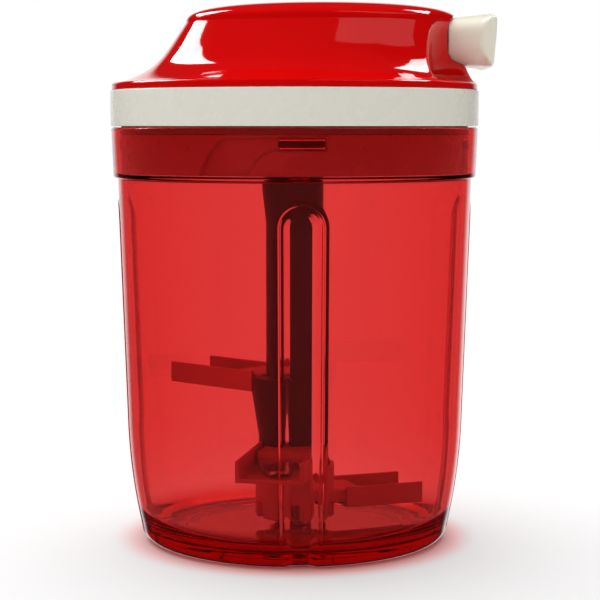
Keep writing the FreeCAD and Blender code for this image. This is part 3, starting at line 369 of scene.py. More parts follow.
def settled(field, points):
    """The points moved onto the surface, and the surface's normals there."""
    for _ in range(4):
        steep = slope(field, points)
        length = np.maximum(np.sum(steep * steep, axis=-1), 1e-6)
        move = steep * (field(*points.T) / length)[:, None]
        points = points - np.clip(move, -0.3, 0.3)
    steep = slope(field, points, 0.15)
    return points, steep / np.maximum(np.linalg.norm(steep, axis=-1), 1e-9)[:, None]


# Materials


def new_material(name):
    """A material with its node tree and its shader."""
    material = bpy.data.materials.new(name)
    material.use_nodes = True
    tree = material.node_tree
    shader = tree.nodes["Principled BSDF"]
    return material, tree, shader


def noise(tree, scale, detail=3.0):
    """A noise texture in the object's own coordinates."""
    place = tree.nodes.new("ShaderNodeTexCoord")
    texture = tree.nodes.new("ShaderNodeTexNoise")
    texture.inputs["Scale"].default_value = scale
    texture.inputs["Detail"].default_value = detail
    tree.links.new(place.outputs["Object"], texture.inputs["Vector"])
    return texture.outputs["Fac"]


def spread(tree, source, low, high):
    """A texture's value spread between two numbers."""
    stretch = tree.nodes.new("ShaderNodeMapRange")
    stretch.inputs["From Min"].default_value = 0.3
    stretch.inputs["From Max"].default_value = 0.7
    stretch.inputs["To Min"].default_value = low
    stretch.inputs["To Max"].default_value = high
    tree.links.new(source, stretch.inputs["Value"])
    return stretch.outputs["Result"]


def tinted(tree, source, dark, light):
    """A colour between two, by a texture's value."""
    ramp = tree.nodes.new("ShaderNodeValToRGB")
    ramp.color_ramp.elements[0].position = 0.35
    ramp.color_ramp.elements[0].color = (*dark, 1)
    ramp.color_ramp.elements[1].position = 0.65
    ramp.color_ramp.elements[1].color = (*light, 1)
    tree.links.new(source, ramp.inputs["Fac"])
    return ramp.outputs["Color"]


def bumped(tree, shader, source, height):
    """A slight unevenness of the surface."""
    bump = tree.nodes.new("ShaderNodeBump")
    bump.inputs["Strength"].default_value = 1.0
    bump.inputs["Distance"].default_value = height
    tree.links.new(source, bump.inputs["Height"])
    tree.links.new(bump.outputs["Normal"], shader.inputs["Normal"])


def plastic(name, dark, light, roughness, unevenness, grain, specular):
    """Moulded plastic: a faint change of tone, roughness that varies a little and a fine unevenness."""
    material, tree, shader = new_material(name)
    tree.links.new(tinted(tree, noise(tree, 35), dark, light), shader.inputs["Base Color"])
    tree.links.new(spread(tree, noise(tree, 120), roughness * 0.85, roughness * 1.15),
                   shader.inputs["Roughness"])
    shader.inputs["Specular IOR Level"].default_value = specular
    bumped(tree, shader, noise(tree, grain, 2.0), unevenness)
    return material


def steel(name, tone, roughness, streak):
    """Ground steel with fine streaks."""
    material, tree, shader = new_material(name)
    dark = tuple(0.8 * part for part in tone)
    tree.links.new(tinted(tree, noise(tree, 200), dark, tone), shader.inputs["Base Color"])
    shader.inputs["Metallic"].default_value = 1.0
    place = tree.nodes.new("ShaderNodeTexCoord")
    stretch = tree.nodes.new("ShaderNodeMapping")
    stretch.inputs["Scale"].default_value = (1, 30, 1)
    streaks = tree.nodes.new("ShaderNodeTexNoise")
    streaks.inputs["Scale"].default_value = streak
    tree.links.new(place.outputs["Object"], stretch.inputs["Vector"])
    tree.links.new(stretch.outputs["Vector"], streaks.inputs["Vector"])
    tree.links.new(spread(tree, streaks.outputs["Fac"], roughness * 0.7, roughness * 1.3),
                   shader.inputs["Roughness"])
    return material


def clear_red(name):
    """Clear red plastic: sharp refraction, and colour that comes from the way through the wall."""
    material, tree, shader = new_material(name)
    shader.inputs["Base Color"].default_value = (0.86, 0.47, 0.46, 1)
    shader.inputs["Transmission Weight"].default_value = 1.0
    shader.inputs["IOR"].default_value = 1.53
    tree.links.new(spread(tree, noise(tree, 90), 0.0, 0.012), shader.inputs["Roughness"])
    absorb = tree.nodes.new("ShaderNodeVolumeAbsorption")
    absorb.inputs["Color"].default_value = (0.97, 0.0, 0.0, 1)
    absorb.inputs["Density"].default_value = 310.0
    tree.links.new(absorb.outputs["Volume"], tree.nodes["Material Output"].inputs["Volume"])
    bumped(tree, shader, noise(tree, 14, 1.0), 0.00006)
    return material


def cord_material(name):
    """Braided cord, whose strands slant."""
    material, tree, shader = new_material(name)
    place = tree.nodes.new("ShaderNodeTexCoord")
    wave = tree.nodes.new("ShaderNodeTexWave")
    wave.wave_type = "BANDS"
    wave.bands_direction = "DIAGONAL"
    wave.inputs["Scale"].default_value = 900
    wave.inputs["Distortion"].default_value = 1.5
    tree.links.new(place.outputs["Object"], wave.inputs["Vector"])
    tree.links.new(tinted(tree, wave.outputs["Fac"], (0.42, 0.41, 0.38), (0.72, 0.7, 0.66)),
                   shader.inputs["Base Color"])
    shader.inputs["Roughness"].default_value = 0.8
    shader.inputs["Sheen Weight"].default_value = 0.3
    bumped(tree, shader, wave.outputs["Fac"], 0.0001)
    return material


GLASS = clear_red("clear_red_plastic")
COVER_RED = plastic("cover_red", (0.61, 0.0008, 0.001), (0.635, 0.001, 0.0012),
                    0.05, 0.000004, 60, 0.5)
SKIRT_RED = plastic("skirt_red", (0.52, 0.03, 0.03), (0.56, 0.034, 0.034),
                    0.3, 0.000006, 150, 0.4)
COLUMN_RED = plastic("column_red", (0.04, 0.0005, 0.0005), (0.05, 0.0006, 0.0006),
                     0.35, 0.000006, 150, 0.15)
GUARD_RED = plastic("guard_red", (0.66, 0.2, 0.19), (0.7, 0.22, 0.21), 0.5, 0.00001, 400, 0.3)
IVORY = plastic("band_ivory", (0.795, 0.77, 0.68), (0.8, 0.775, 0.685), 0.28, 0.000001, 200, 0.4)
GRIP = plastic("grip_ivory", (0.86, 0.83, 0.69), (0.875, 0.845, 0.705), 0.22, 0.000004, 200, 0.5)
BLADE_STEEL = steel("blade_steel", (0.72, 0.72, 0.74), 0.25, 300)
SPRING_STEEL = steel("spring_steel", (0.45, 0.46, 0.5), 0.3, 200)
SCREW_STEEL = steel("screw_steel", (0.6, 0.6, 0.62), 0.35, 400)
BEARING = plastic("bearing_white", (0.7, 0.7, 0.68), (0.75, 0.75, 0.73), 0.5, 0.00002, 300, 0.5)
RUBBER = plastic("grey_rubber", (0.12, 0.12, 0.12), (0.15, 0.15, 0.15), 0.8, 0.00006, 600, 0.3)
FOOT_RUBBER = plastic("red_rubber", (0.36, 0.02, 0.02), (0.4, 0.025, 0.025), 0.7, 0.00004, 600, 0.3)
SEAL = plastic("red_silicone", (0.3, 0.012, 0.012), (0.34, 0.015, 0.015), 0.5, 0.00003, 300, 0.4)
CORD = cord_material("braided_cord")

FINISHES = {
    "base_ring": FOOT_RUBBER, "pivot_pin": SCREW_STEEL, "seal_ring": SEAL, "spring_cup": BEARING,
    "power_spring": SPRING_STEEL, "cord_eyelet": SCREW_STEEL, "reel_post": SCREW_STEEL,
    "reel_clip": SPRING_STEEL, "spindle_bush": BEARING, "shaft_seal": RUBBER, "lid_screws": SCREW_STEEL,
    "cord_knot": CORD, "reel": BEARING, "reel_top_flange": BEARING, "cord_wound": CORD,
    "drive_spindle": BEARING, "clutch_spring": SPRING_STEEL, "clutch_ring": BEARING,
    "pivot_bush": BEARING, "blade_upper": BLADE_STEEL, "blade_middle": BLADE_STEEL,
    "blade_lower": BLADE_STEEL,
}


def finish_cad_nodes():
    """Give every CAD node that stays its own material, and give the clutch's spring a mesh of its own."""
    for name, material in FINISHES.items():
        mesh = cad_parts[name].data
        mesh.materials.clear()
        mesh.materials.append(material)
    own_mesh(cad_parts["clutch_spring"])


# Container


def bowed(low_radius, low, high_radius, high, bow):
    """Corners along an arc of radius bow that bulges outward between two points."""
    start = np.array([low_radius, low])
    end = np.array([high_radius, high])
    half = np.linalg.norm(end - start) / 2
    inward = np.array([start[1] - end[1], end[0] - start[0]]) / (2 * half)
    centre = (start + end) / 2 + inward * math.sqrt(bow * bow - half * half)
    heights = np.linspace(low, high, 22)
    return [(centre[0] + math.sqrt(bow * bow - (up - centre[1]) ** 2), up, 0) for up in heights]


def flute_reach(turn, up):
    """How far a point of the wall lies from the middle line of the nearest flute."""
    aside = wrapped(4 * (turn - FLUTE_TURN)) / 4 * WALL_LOW
    above = np.maximum(up - FLUTE_TOP, 0)
    return np.hypot(aside, above)


def container_shape(across, up, turn):
    """Presses the flutes into the wall and raises the lugs on the collar's inner side."""
    reach = flute_reach(turn, up)
    outer_line = np.interp(up, [FOOT, HEEL_TOP, BELLY, COLLAR_BOTTOM],
                           [HEEL - HEEL_ROUNDING, HEEL, WALL_LOW, WALL_TOP])
    outside = smooth_step(-1.6, -0.6, across - outer_line)
    below_collar = up < COLLAR_BOTTOM - 1
    heel = smooth_step(HEEL - 12, HEEL - 5, across)
    scoop = FLUTE_DEPTH * (1 - smooth_step(FLUTE_FLOOR, FLUTE_HALF, reach))
    bead = BEAD_HEIGHT * np.exp(-((reach - FLUTE_HALF - BEAD_WIDTH) / BEAD_WIDTH) ** 2)
    groove = (scoop - bead) * outside * heel
    inside = (1 - outside) * smooth_step(FLOOR + 0.2, FLOOR + 6, up)
    rib = RIB_HEIGHT * (1 - smooth_step(RIB_TOP, RIB_HALF, reach)) * inside
    lug_aside = np.abs(np.degrees(wrapped(4 * (turn - FLUTE_TURN)) / 4))
    lug_low = LUG_TOP - LUG_HEIGHT
    soft = 0.15
    lug_side = 1 - smooth_step(LUG_HALF_ANGLE - soft, LUG_HALF_ANGLE + soft, lug_aside)
    lug_up = smooth_step(lug_low - soft, lug_low + soft, up)
    lug_up = lug_up * (1 - smooth_step(LUG_TOP - soft, LUG_TOP + soft, up))
    on_collar = (up > COLLAR_BOTTOM + 2) & (np.abs(across - COLLAR_INNER + 0.2) < 0.8)
    lug = LUG_REACH * lug_side * lug_up * on_collar
    return across - (groove + rib) * below_collar - lug


def fluted_turns():
    """Azimuths that are close together where the flutes and lugs are."""
    turns = []
    # Millimetres from the flute's middle line, closest together along its edges
    coarse = np.arange(-10.8, 10.81, 0.4)
    coarse = coarse[np.abs(np.abs(coarse) - FLUTE_HALF - BEAD_WIDTH) > 1]
    edge = np.arange(FLUTE_HALF - 0.6, FLUTE_HALF + 1.3, 0.13)
    fine = np.concatenate([coarse, edge, -edge]) / WALL_LOW
    lug_side = np.array([LUG_HALF_ANGLE - 0.1, LUG_HALF_ANGLE + 0.1])
    lug = np.radians(np.concatenate([-lug_side, lug_side]))
    near = np.unique(np.concatenate([fine, lug]))
    quarter = math.pi / 2
    between = np.linspace(near[-1], quarter + near[0], 26)[1:-1]
    for flute in range(4):
        start = FLUTE_TURN + flute * quarter
        turns.extend(start + near)
        turns.extend(start + between)
    return np.array(turns)


def wall_radius(up, base, top):
    """Radius at a height of the straight wall that starts at base above the belly and ends at top."""
    return base + TAPER * (up - BELLY) / (top - BELLY)


def container_outside():
    """Corners (radius, height, rounding) from the middle of the foot up to the collar."""
    under = FLOOR - FLOOR_WALL
    start = HEEL - HEEL_ROUNDING
    recess = start - FOOT_WIDTH
    ring_inner, ring_outer = ring_high.x - FOOT_RING_WIDTH, ring_high.x
    corners = [
        (0, under, 0), (recess, under, 1.0), (recess, FOOT, 0.8), (ring_inner, FOOT, 0.2),
        (ring_inner, ring_high.z, 0.2), (ring_outer, ring_high.z, 0.2), (ring_outer, FOOT, 0.2),
    ]
    for degrees in range(0, 100, 10):
        angle = math.radians(degrees)
        corners.append((start + HEEL_ROUNDING * math.sin(angle),
                        HEEL_TOP - HEEL_ROUNDING * math.cos(angle), 0))
    corners += bowed(HEEL, HEEL_TOP, WALL_LOW, BELLY, BOW_RADIUS)[1:]
    # The rows lie closer together where the flutes end
    rows = [(50, 108, 4), (108, 119, 0.5), (119, 128, 0.2), (128, 133, 0.5)]
    heights = np.concatenate([np.arange(*row, dtype=float) for row in rows])
    corners += [(wall_radius(up, WALL_LOW, COLLAR_BOTTOM), up, 0) for up in heights]
    return corners


def container_collar():
    """Corners of the collar, with rows for the lugs' upper and lower edges."""
    corners = [
        (WALL_TOP, COLLAR_BOTTOM, 0.5), (COLLAR_RADIUS - 0.7, COLLAR_BOTTOM, 0.9),
        (COLLAR_RADIUS, RIM, 0.8), (COLLAR_INNER, RIM, 0.5),
    ]
    lug_low = LUG_TOP - LUG_HEIGHT
    lug_rows = [LUG_TOP + 0.5, LUG_TOP + 0.1, LUG_TOP - 0.1, LUG_TOP - 1,
                lug_low + 1, lug_low + 0.1, lug_low - 0.1, lug_low - 0.5]
    corners += [(COLLAR_INNER, up, 0) for up in lug_rows]
    inner_step = COLLAR_BOTTOM + WALL / 2
    return corners + [(COLLAR_INNER, inner_step, 0.6), (WALL_TOP - WALL, inner_step, 0.8)]


def container_inside():
    """Corners of the inner side, from below the collar down to the hole of the pivot pin."""
    inner_step = COLLAR_BOTTOM + WALL / 2
    heights = list(np.arange(133, 108, -0.5)) + list(np.arange(108, 48, -4))
    corners = [(wall_radius(up, WALL_LOW - WALL, inner_step), up, 0) for up in heights]
    bowl_radius = WALL_LOW - WALL - BOWL_INSET
    corners += bowed(bowl_radius, FLOOR + FLOOR_CORNER, WALL_LOW - WALL, BELLY, BOW_RADIUS)[::-1]
    for degrees in range(10, 100, 10):
        angle = math.radians(degrees)
        corners.append((bowl_radius - FLOOR_CORNER + FLOOR_CORNER * math.cos(angle),
                        FLOOR + FLOOR_CORNER - FLOOR_CORNER * math.sin(angle), 0))
    return corners + [
        (BOSS_RADIUS, FLOOR, 1.5), (BOSS_RADIUS, BOSS_TOP, 0.6), (pin_high.x, BOSS_TOP, 0.2),
        (pin_high.x, pin_low.z, 0.1), (0, pin_low.z, 0),
    ]


def make_container():
    """The clear bowl in one closed mesh: wall with flutes, foot, collar, lugs and pivot boss."""
    path = rounded_path(container_outside() + container_collar() + container_inside(), 3.0)
    points, faces = turned_mesh(path, fluted_turns(), container_shape)
    make_object("chopper_bowl", points, faces, "container_body", GLASS, replaced=["container"])


# Cover


def oval_radius(x, y, z):
    """How far out a point is at its level of the cover: 1 on the wall, less inside it."""
    down = np.clip((CREASE - z) / (CREASE - LEDGE + 0.5), 0, 1)
    # A straight slope under the crease, which sweeps out to the flange at its foot
    share = 0.56 * down + 0.44 * down ** 5.8
    along = OVAL_LENGTH * (1 - share) + FLANGE_RADIUS * share
    aside = OVAL_WIDTH * (1 - share) + FLANGE_RADIUS * share
    return np.sqrt(((x - OVAL_SHIFT * (1 - share)) / along) ** 2 + (y / aside) ** 2), aside


def dome_field(x, y, z):
    """The dome with its wall, crease and crown."""
    out, aside = oval_radius(x, y, z)
    rise = np.clip((z - CREASE) / CROWN, 0, 1.6)
    wall = (out - 1) * aside * 0.75
    crown = ((out ** 3 + rise ** 2.5) ** (1 / 2.7) - 1) * CROWN * 1.6
    crown = np.where(rise > 0, crown, wall)
    return np.where(z < CREASE, wall, crown)


def handle_widths(x):
    """Half the handle's width and height, and how square it is, by the place along the pull."""
    share = np.clip((x - HANDLE_START) / (HANDLE_LENGTH + HANDLE_GAP), -0.1, 1)
    half_width = NECK_HALF_WIDTH + WIDTH_FLARE * (x - HANDLE_START)
    half_height = NECK_HALF_HEIGHT + HEIGHT_GAIN * share
    power = np.interp(share, [0, 0.3, 0.59, 0.7, 0.8, 0.9, 1], [2.8, 2.8, 2.9, 3.3, 4.6, 6.2, 8])
    return half_width, half_height, power


def dock_field(x, y, z):
    """The room for the handle in the cover."""
    half_width, half_height, power = handle_widths(x)
    half_width = np.maximum(half_width, 5) + HANDLE_GAP
    half_height = half_height + HANDLE_GAP
    across = np.abs(y / half_width) ** power
    upward = np.abs((z - CORD_HEIGHT) / half_height) ** power
    reach = (across + upward) ** (1 / power)
    return smooth_max((reach - 1) * half_height, HANDLE_START - HANDLE_GAP - x, 0.4)


def cover_field(x, y, z):
    """The whole cover: dome, lip and scallops, with the dock and the eyelet's hole."""
    # The dome is averaged over a small height, which softens its crease
    lift = 0.15
    dome = (dome_field(x, y, z - lift) + dome_field(x, y, z) + dome_field(x, y, z + lift)) / 3
    out = np.hypot(x, y)
    rounding = 1.2
    side = out - (LIP_RADIUS - rounding)
    top = z - (LEDGE - rounding)
    corner = np.hypot(np.maximum(side, 0), np.maximum(top, 0))
    lip = corner + np.minimum(np.maximum(side, top), 0) - rounding
    body = smooth_min(dome, lip, 0.8)
    for aside in (-SCALLOP_ASIDE, SCALLOP_ASIDE):
        bite = np.hypot(x - SCALLOP_ALONG, y - aside) - SCALLOP_RADIUS
        bite = smooth_max(bite, LEDGE + 0.5 - z, 2.5)
        body = smooth_max(body, -bite, 1.6)
    body = smooth_max(body, -dock_field(x, y, z), 0.5)
    eyelet = np.maximum(np.hypot(y, z - CORD_HEIGHT) - 2.7, HANDLE_START - 6 - x)
    body = np.maximum(body, -eyelet)
    return smooth_max(body, BAND_TOP - z, 0.3)


def make_cover():
    """The glossy red cover in one closed mesh."""
    side = 69
    margin = 1.4
    low = (-side, -side, BAND_TOP - margin)
    high = (side, side, CREASE + CROWN + margin)
    points, faces, normals = surface(cover_field, low, high, 0.65)
    make_object("dome_cover", points, faces, "lid_body", COVER_RED, normals, ["lid_cover"])


# Handle


def handle_ring(share, rolled, inset=0.0):
    """One ring of points across the handle, share of the way along it or rolled over its outer edge."""
    angles = even_turns(144)
    side, rise = np.cos(angles), np.sin(angles)
    rounding = LOWER_ROUNDING + (UPPER_ROUNDING - LOWER_ROUNDING) * smooth_step(0.1, 0.9, rise)
    end = HANDLE_START + HANDLE_LENGTH - HANDLE_SETBACK
    x = HANDLE_START + (end - rounding - HANDLE_START) * share + rounding * math.sin(rolled)
    half_width, half_height, power = handle_widths(x)
    inset = inset + rounding * (1 - math.cos(rolled))
    reach = (np.abs(side) ** power + np.abs(rise) ** power) ** (-1 / power)
    y = (half_width - inset) * reach * side
    y = np.sign(y) * smooth_min(np.abs(y), HANDLE_SIDE - inset, 1.0)
    z = (half_height - inset) * reach * rise
    lean = HANDLE_LEAN * np.clip((x - HANDLE_START) / (end - HANDLE_START), 0, 1) ** 2
    return np.stack([x + lean * z, y, z + CORD_HEIGHT], axis=-1)


def make_handle():
    """The ivory pull handle, flared from a round neck to a flat end with softened edges."""
    rings = [handle_ring(0.0, 0.0, inset) for inset in (8.0, 6.0, 3.0, 1.0, 0.4)]
    rings += [handle_ring(share, 0.0) for share in np.linspace(0.01, 1, 44)]
    rings += [handle_ring(1.0, math.radians(step * 10)) for step in range(1, 10)]
    edge = rings[-1]
    middle = edge.mean(axis=0)
    for share in (0.93, 0.8, 0.6, 0.4, 0.2, 0.0):
        ring = middle + (edge - middle) * share
        ring[:, 0] += 0.4 * (1 - share * share)
        rings.append(ring)
    first = rings[0]
    rings.insert(0, np.tile(first.mean(axis=0), (len(first), 1)))
    points, faces = merge_axis(np.concatenate(rings), ring_faces(len(rings), len(first)))
    make_object("pull_grip", points, faces, "handle_body", GRIP, replaced=["pull_handle", "handle_cap"])


# Lid base and band


def groove_share(turn, up):
    """1 inside the bayonet groove's area of the skirt, 0 outside it, with soft edges."""
    aside = np.degrees(wrapped(4 * (turn - FLUTE_TURN)) / 4)
    reach = LUG_HALF_ANGLE + 0.6
    upper = np.interp(aside, [-36, -34, -31, -28, -25.5, -23], [-20, -16, -9.5, -4, -1, 0])
    upper = upper + LUG_TOP + 0.4
    lower = np.interp(aside, [-23, -20, -17, -14, -11, -8.5], [-20, -16, -9, -3.6, -1, 0])
    lower = lower + LUG_TOP - LUG_HEIGHT - 0.4
    across = smooth_step(-0.4, 0.4, upper - up) * smooth_step(-0.4, 0.4, up - lower)
    return across * smooth_step(-0.4, 0.4, reach - aside) * smooth_step(-36.4, -35.6, aside)


def skirt_shape(across, up, turn):
    """Cuts the bayonet grooves into the skirt, deeper behind the lugs."""
    outside = (across > SKIRT_RADIUS - 0.6) & (up < SEAT - 3.7)
    aside = np.abs(np.degrees(wrapped(4 * (turn - FLUTE_TURN)) / 4))
    pocket = LUG_POCKET * smooth_step(LUG_HALF_ANGLE + 0.6, LUG_HALF_ANGLE, aside)
    return across - (GROOVE_DEPTH + pocket) * groove_share(turn, up) * outside


def groove_turns():
    """Azimuths that are close together where the grooves are."""
    fine = np.arange(-37, 9, 0.35)
    coarse = np.arange(9, 53, 2)
    return np.concatenate([FLUTE_TURN + np.radians(np.concatenate([fine, coarse]) + 90 * quarter)
                           for quarter in range(4)])


def make_lid_base():
    """The lid's dark red lower half: plate, skirt with bayonet grooves, and the hub of the bearing."""
    edge = lid_base_low.z
    plate = SEAT - 3.6
    skirt_inner = SKIRT_RADIUS - SKIRT_WALL
    seal_radius = SKIRT_RADIUS - 2.2
    seal_top, seal_low = SEAT - 0.9, plate + 0.8
    bearing, hub_radius = 9.0, 13.0
    hub = edge + 7.1
    corners = [
        (bearing, SEAT, 0.2), (SKIRT_RADIUS, SEAT, 0.3), (SKIRT_RADIUS, seal_top, 0.2),
        (seal_radius, seal_top, 0.1), (seal_radius, seal_low, 0.1), (SKIRT_RADIUS, seal_low, 0.2),
    ]
    corners += [(SKIRT_RADIUS, up, 0) for up in np.arange(plate, edge + 0.4, -0.4)]
    corners += [
        (SKIRT_RADIUS, edge, 0.5), (skirt_inner, edge, 0.5), (skirt_inner, plate, 1.5),
        (hub_radius, plate, 1.5), (hub_radius, hub, 0.6), (bearing, hub, 0.3),
    ]
    path = rounded_path(corners, 4.0)
    points, faces = turned_mesh(path, groove_turns(), skirt_shape, closed=True)
    make_object("skirt_and_plate", points, faces, "lid_body", SKIRT_RED, replaced=["lid_base"])


def make_lug_shade_blocks():
    """A dark block behind each lug, put in as painted shade for the deep pocket there."""
    reach = SKIRT_RADIUS - GROOVE_DEPTH - LUG_POCKET
    half = 7.2
    low = (reach - 0.3, -half, LUG_TOP - LUG_HEIGHT - 0.3)
    high = (reach + 0.7, half, LUG_TOP + 0.3)
    for quarter in range(4):
        turn = FLUTE_TURN + quarter * math.pi / 2
        boxed(f"lug_shade_block_{quarter}", low, high, turn, COLUMN_RED, 0.2, "lid_body")


def make_band():
    """The ivory band with its softened edges."""
    inner = BAND_RADIUS - 2.6
    corners = [(inner, SEAT, 0.2), (BAND_RADIUS, SEAT, 0.7),
               (BAND_RADIUS, BAND_TOP, 0.7), (inner, BAND_TOP, 0.2)]
    path = rounded_path([corners[-1]] + corners + [corners[0]], 2.0)[1:-1]
    points, faces = turned_mesh(path, even_turns(256), closed=True)
    make_object("band", points, faces, "lid_body", IVORY, replaced=["lid_band"])


# Cord


def make_cord():
    """The cord from the reel through the eyelet to the knot."""
    reel_side = np.array([8.0, 18.33])
    bend = np.array([HANDLE_START - CORD_BEND_INSET, 0.0])
    way = (bend - reel_side) / np.linalg.norm(bend - reel_side)
    turn = -math.atan2(way[1], way[0])
    radius = CORD_BEND_RADIUS
    back = radius * math.tan(turn / 2)
    run = [reel_side + (bend - way * back - reel_side) * share for share in np.linspace(0, 1, 8)]
    for step in range(1, 7):
        angle = turn * (1 - step / 6)
        run.append(np.array([bend[0] + back - radius * math.sin(angle), radius * (1 - math.cos(angle))]))
    run += [np.array([x, 0.0]) for x in np.linspace(bend[0] + back + 0.5, handle_low.x + 9.3, 22)]
    run = np.array(run)
    along = np.gradient(run, axis=0)
    along /= np.linalg.norm(along, axis=1)[:, None]
    count = 12
    points = []
    for place, aim in zip(run, along):
        across = np.array([-aim[1], aim[0]])
        for angle in even_turns(count):
            side = place + across * CORD_RADIUS * math.cos(angle)
            points.append((side[0], side[1], CORD_HEIGHT + CORD_RADIUS * math.sin(angle)))
    faces = [tuple(range(count - 1, -1, -1))]
    faces += ring_faces(len(run), count)
    faces.append(tuple((len(run) - 1) * count + column for column in range(count)))
    mesh = bpy.data.meshes.new("cord_run")
    mesh.from_pydata((np.array(points) * MM).tolist(), [], faces)
    mesh.shade_smooth()
    mesh.materials.append(CORD)
    cord = bpy.data.objects.new("cord_run", mesh)
    bpy.context.scene.collection.objects.link(cord)
    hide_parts("cord_lead")
    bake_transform(cord)


# Blade carrier and arms


def boxed(name, low, high, turn, material, rounding=0.35, body="blade_body"):
    """A block with softened edges between two corners, turned about the axis."""
    corners = [[low[axis] if bit == 0 else high[axis] for axis, bit in enumerate(bits)]
               for bits in product((0, 1), repeat=3)]
    faces = [(0, 1, 3, 2), (4, 6, 7, 5), (0, 4, 5, 1), (2, 3, 7, 6), (0, 2, 6, 4), (1, 5, 7, 3)]
    return softened(name, np.array(corners, float), faces, turn, material, rounding, body)


def softened(name, points, faces, turn, material, rounding, body="blade_body"):
    """A faceted mesh with rounded edges, turned about the axis."""
    c, s = math.cos(turn), math.sin(turn)
    points = np.asarray(points, float) @ np.array([[c, s, 0], [-s, c, 0], [0, 0, 1]])
    thing = make_object(name, points, faces, body, material)
    bevel = thing.modifiers.new("soft edges", "BEVEL")
    bevel.width = rounding * MM
    bevel.segments = 3
    bevel.limit_method = "ANGLE"
    thing.modifiers.new("even shading", "WEIGHTED_NORMAL")
    return thing


def column_shape(across, up, turn):
    """Brings the carrier in to its column's radius on the side away from the upper arm."""
    away = smooth_step(math.radians(70), math.radians(105), np.abs(wrapped(turn - SHOULDER_TURN)))
    slim = COLUMN_RADIUS + 0.1
    return np.where(up > HUB_TOP, np.minimum(across, across + (slim - across) * away), across)


def make_column():
    """The carrier's hollow column with its flared head, shoulder and waist."""
    top = carrier_high.z
    socket_radius, socket_floor = 7.6, 30.0
    head_radius = 12.0
    head_low, neck_top = top - 12.5, top - 24.5
    shoulder_radius, shoulder_top, shoulder_low = 16.0, 60.5, 54.0
    waist_radius, waist_height = 13.5, 38.0
    foot = HUB_TOP - 0.2
    corners = [
        (0, socket_floor, 0), (socket_radius, socket_floor, 1.0), (socket_radius, top, 0.5),
        (head_radius, top, 0.5), (head_radius, head_low, 3.0),
        (COLUMN_RADIUS, neck_top, 3.0), (COLUMN_RADIUS, shoulder_top, 0.6),
        (shoulder_radius, shoulder_top, 0.6), (shoulder_radius, shoulder_low, 0.6),
        (waist_radius, waist_height, 0.6), (waist_radius, foot, 0.2), (0, foot, 0),
    ]
    path = rounded_path(corners, 4.0)
    points, faces = turned_mesh(path, even_turns(128), column_shape)
    make_object("carrier_column", points, faces, "blade_body", COLUMN_RED, replaced=["blade_carrier"])


def hub_shape(across, up, turn):
    """Cuts the hub's skirt into legs."""
    slot = np.abs(wrapped(6 * (turn - SLOT_TURN)) / 6) * HUB_RADIUS
    slot_top, slot_floor, skirt_from = 14.2, 11.4, 11.0
    open_slot = (slot < SLOT_HALF) & (up < slot_top) & (across > skirt_from)
    return np.where(open_slot, slot_floor, across)


def make_hub():
    """The slotted hub at the carrier's foot."""
    low = carrier_low.z
    skirt_inner = HUB_RADIUS - 3.0
    skirt_ceiling = low + 5.6
    bore_radius, bore_top = 5.2, 23.7
    corners = [(0, HUB_TOP, 0), (HUB_RADIUS, HUB_TOP, 0.6)]
    corners += [(HUB_RADIUS, up, 0) for up in np.arange(27.5, low + 0.6, -0.5)]
    corners += [
        (HUB_RADIUS, low, 0.4), (skirt_inner, low, 0.3), (skirt_inner, skirt_ceiling, 0.3),
        (bore_radius, skirt_ceiling, 0.2), (bore_radius, bore_top, 0.2), (0, bore_top, 0),
    ]
    path = rounded_path(corners, 3.0)
    turns = []
    side = SLOT_HALF / HUB_RADIUS
    edge = 0.004
    for slot in range(6):
        middle = SLOT_TURN + math.radians(60 * slot)
        turns += [middle - side - edge, middle - side + edge, middle,
                  middle + side - edge, middle + side + edge]
        turns += list(middle + np.linspace(side + 0.06, math.radians(60) - side - 0.06, 14))
    points, faces = turned_mesh(path, np.array(turns), hub_shape)
    make_object("carrier_hub", points, faces, "blade_body", GUARD_RED, replaced=["blade_carrier"])


def make_guard(name):
    """A channel-shaped blade guard, open above and at both ends."""
    azimuth = math.radians(ARM_AZIMUTHS[name])
    node = f"blade_guard_{name}"
    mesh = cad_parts[node].data
    points = np.array([v.co for v in mesh.vertices]) / MM
    c, s = math.cos(-azimuth), math.sin(-azimuth)
    along = points @ np.array([[c, s, 0], [-s, c, 0], [0, 0, 1]])
    reach = along[:, 0].max()
    start = along[:, 0].min()
    low, high = along[:, 2].min(), along[:, 2].max()
    half, wall, floor = 12.0, 1.5, 1.7
    section = [(-half, high), (-half, low), (half, low), (half, high), (half - wall, high),
               (half - wall, low + floor), (wall - half, low + floor), (wall - half, high)]
    corners = [(x, y, z) for x in (start, reach) for y, z in section]
    count = len(section)
    faces = [tuple(range(count - 1, -1, -1)), tuple(range(count, 2 * count))]
    faces += ring_faces(2, count)
    guard = softened(f"guard_{name}", corners, faces, azimuth, GUARD_RED, 0.35)
    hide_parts(node)
    # The block that joins the guard to the hub
    base = low + floor + 0.1
    root_low, root_high = (8, -9.5, base), (24, 9.5, base + 4.8)
    root = boxed(f"root_{name}", root_low, root_high, azimuth, GUARD_RED, 0.5)
    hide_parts("blade_carrier")


def make_carrier():
    """The whole blade carrier, with the ribs in the socket for the spindle."""
    make_column()
    make_hub()
    for name in ARM_AZIMUTHS:
        make_guard(name)
    low = (5.0, -2.2, carrier_high.z - 16)
    high = (8.4, 2.2, carrier_high.z - 2)
    for name, turn in (("near", 0.0), ("far", math.pi)):
        boxed(f"socket_rib_{name}", low, high, turn, COLUMN_RED, 0.3)


# Stage, lights and camera


AMBIENT = 0.40
BACKDROP = 1.0
DARK_STUDIO = 0.02


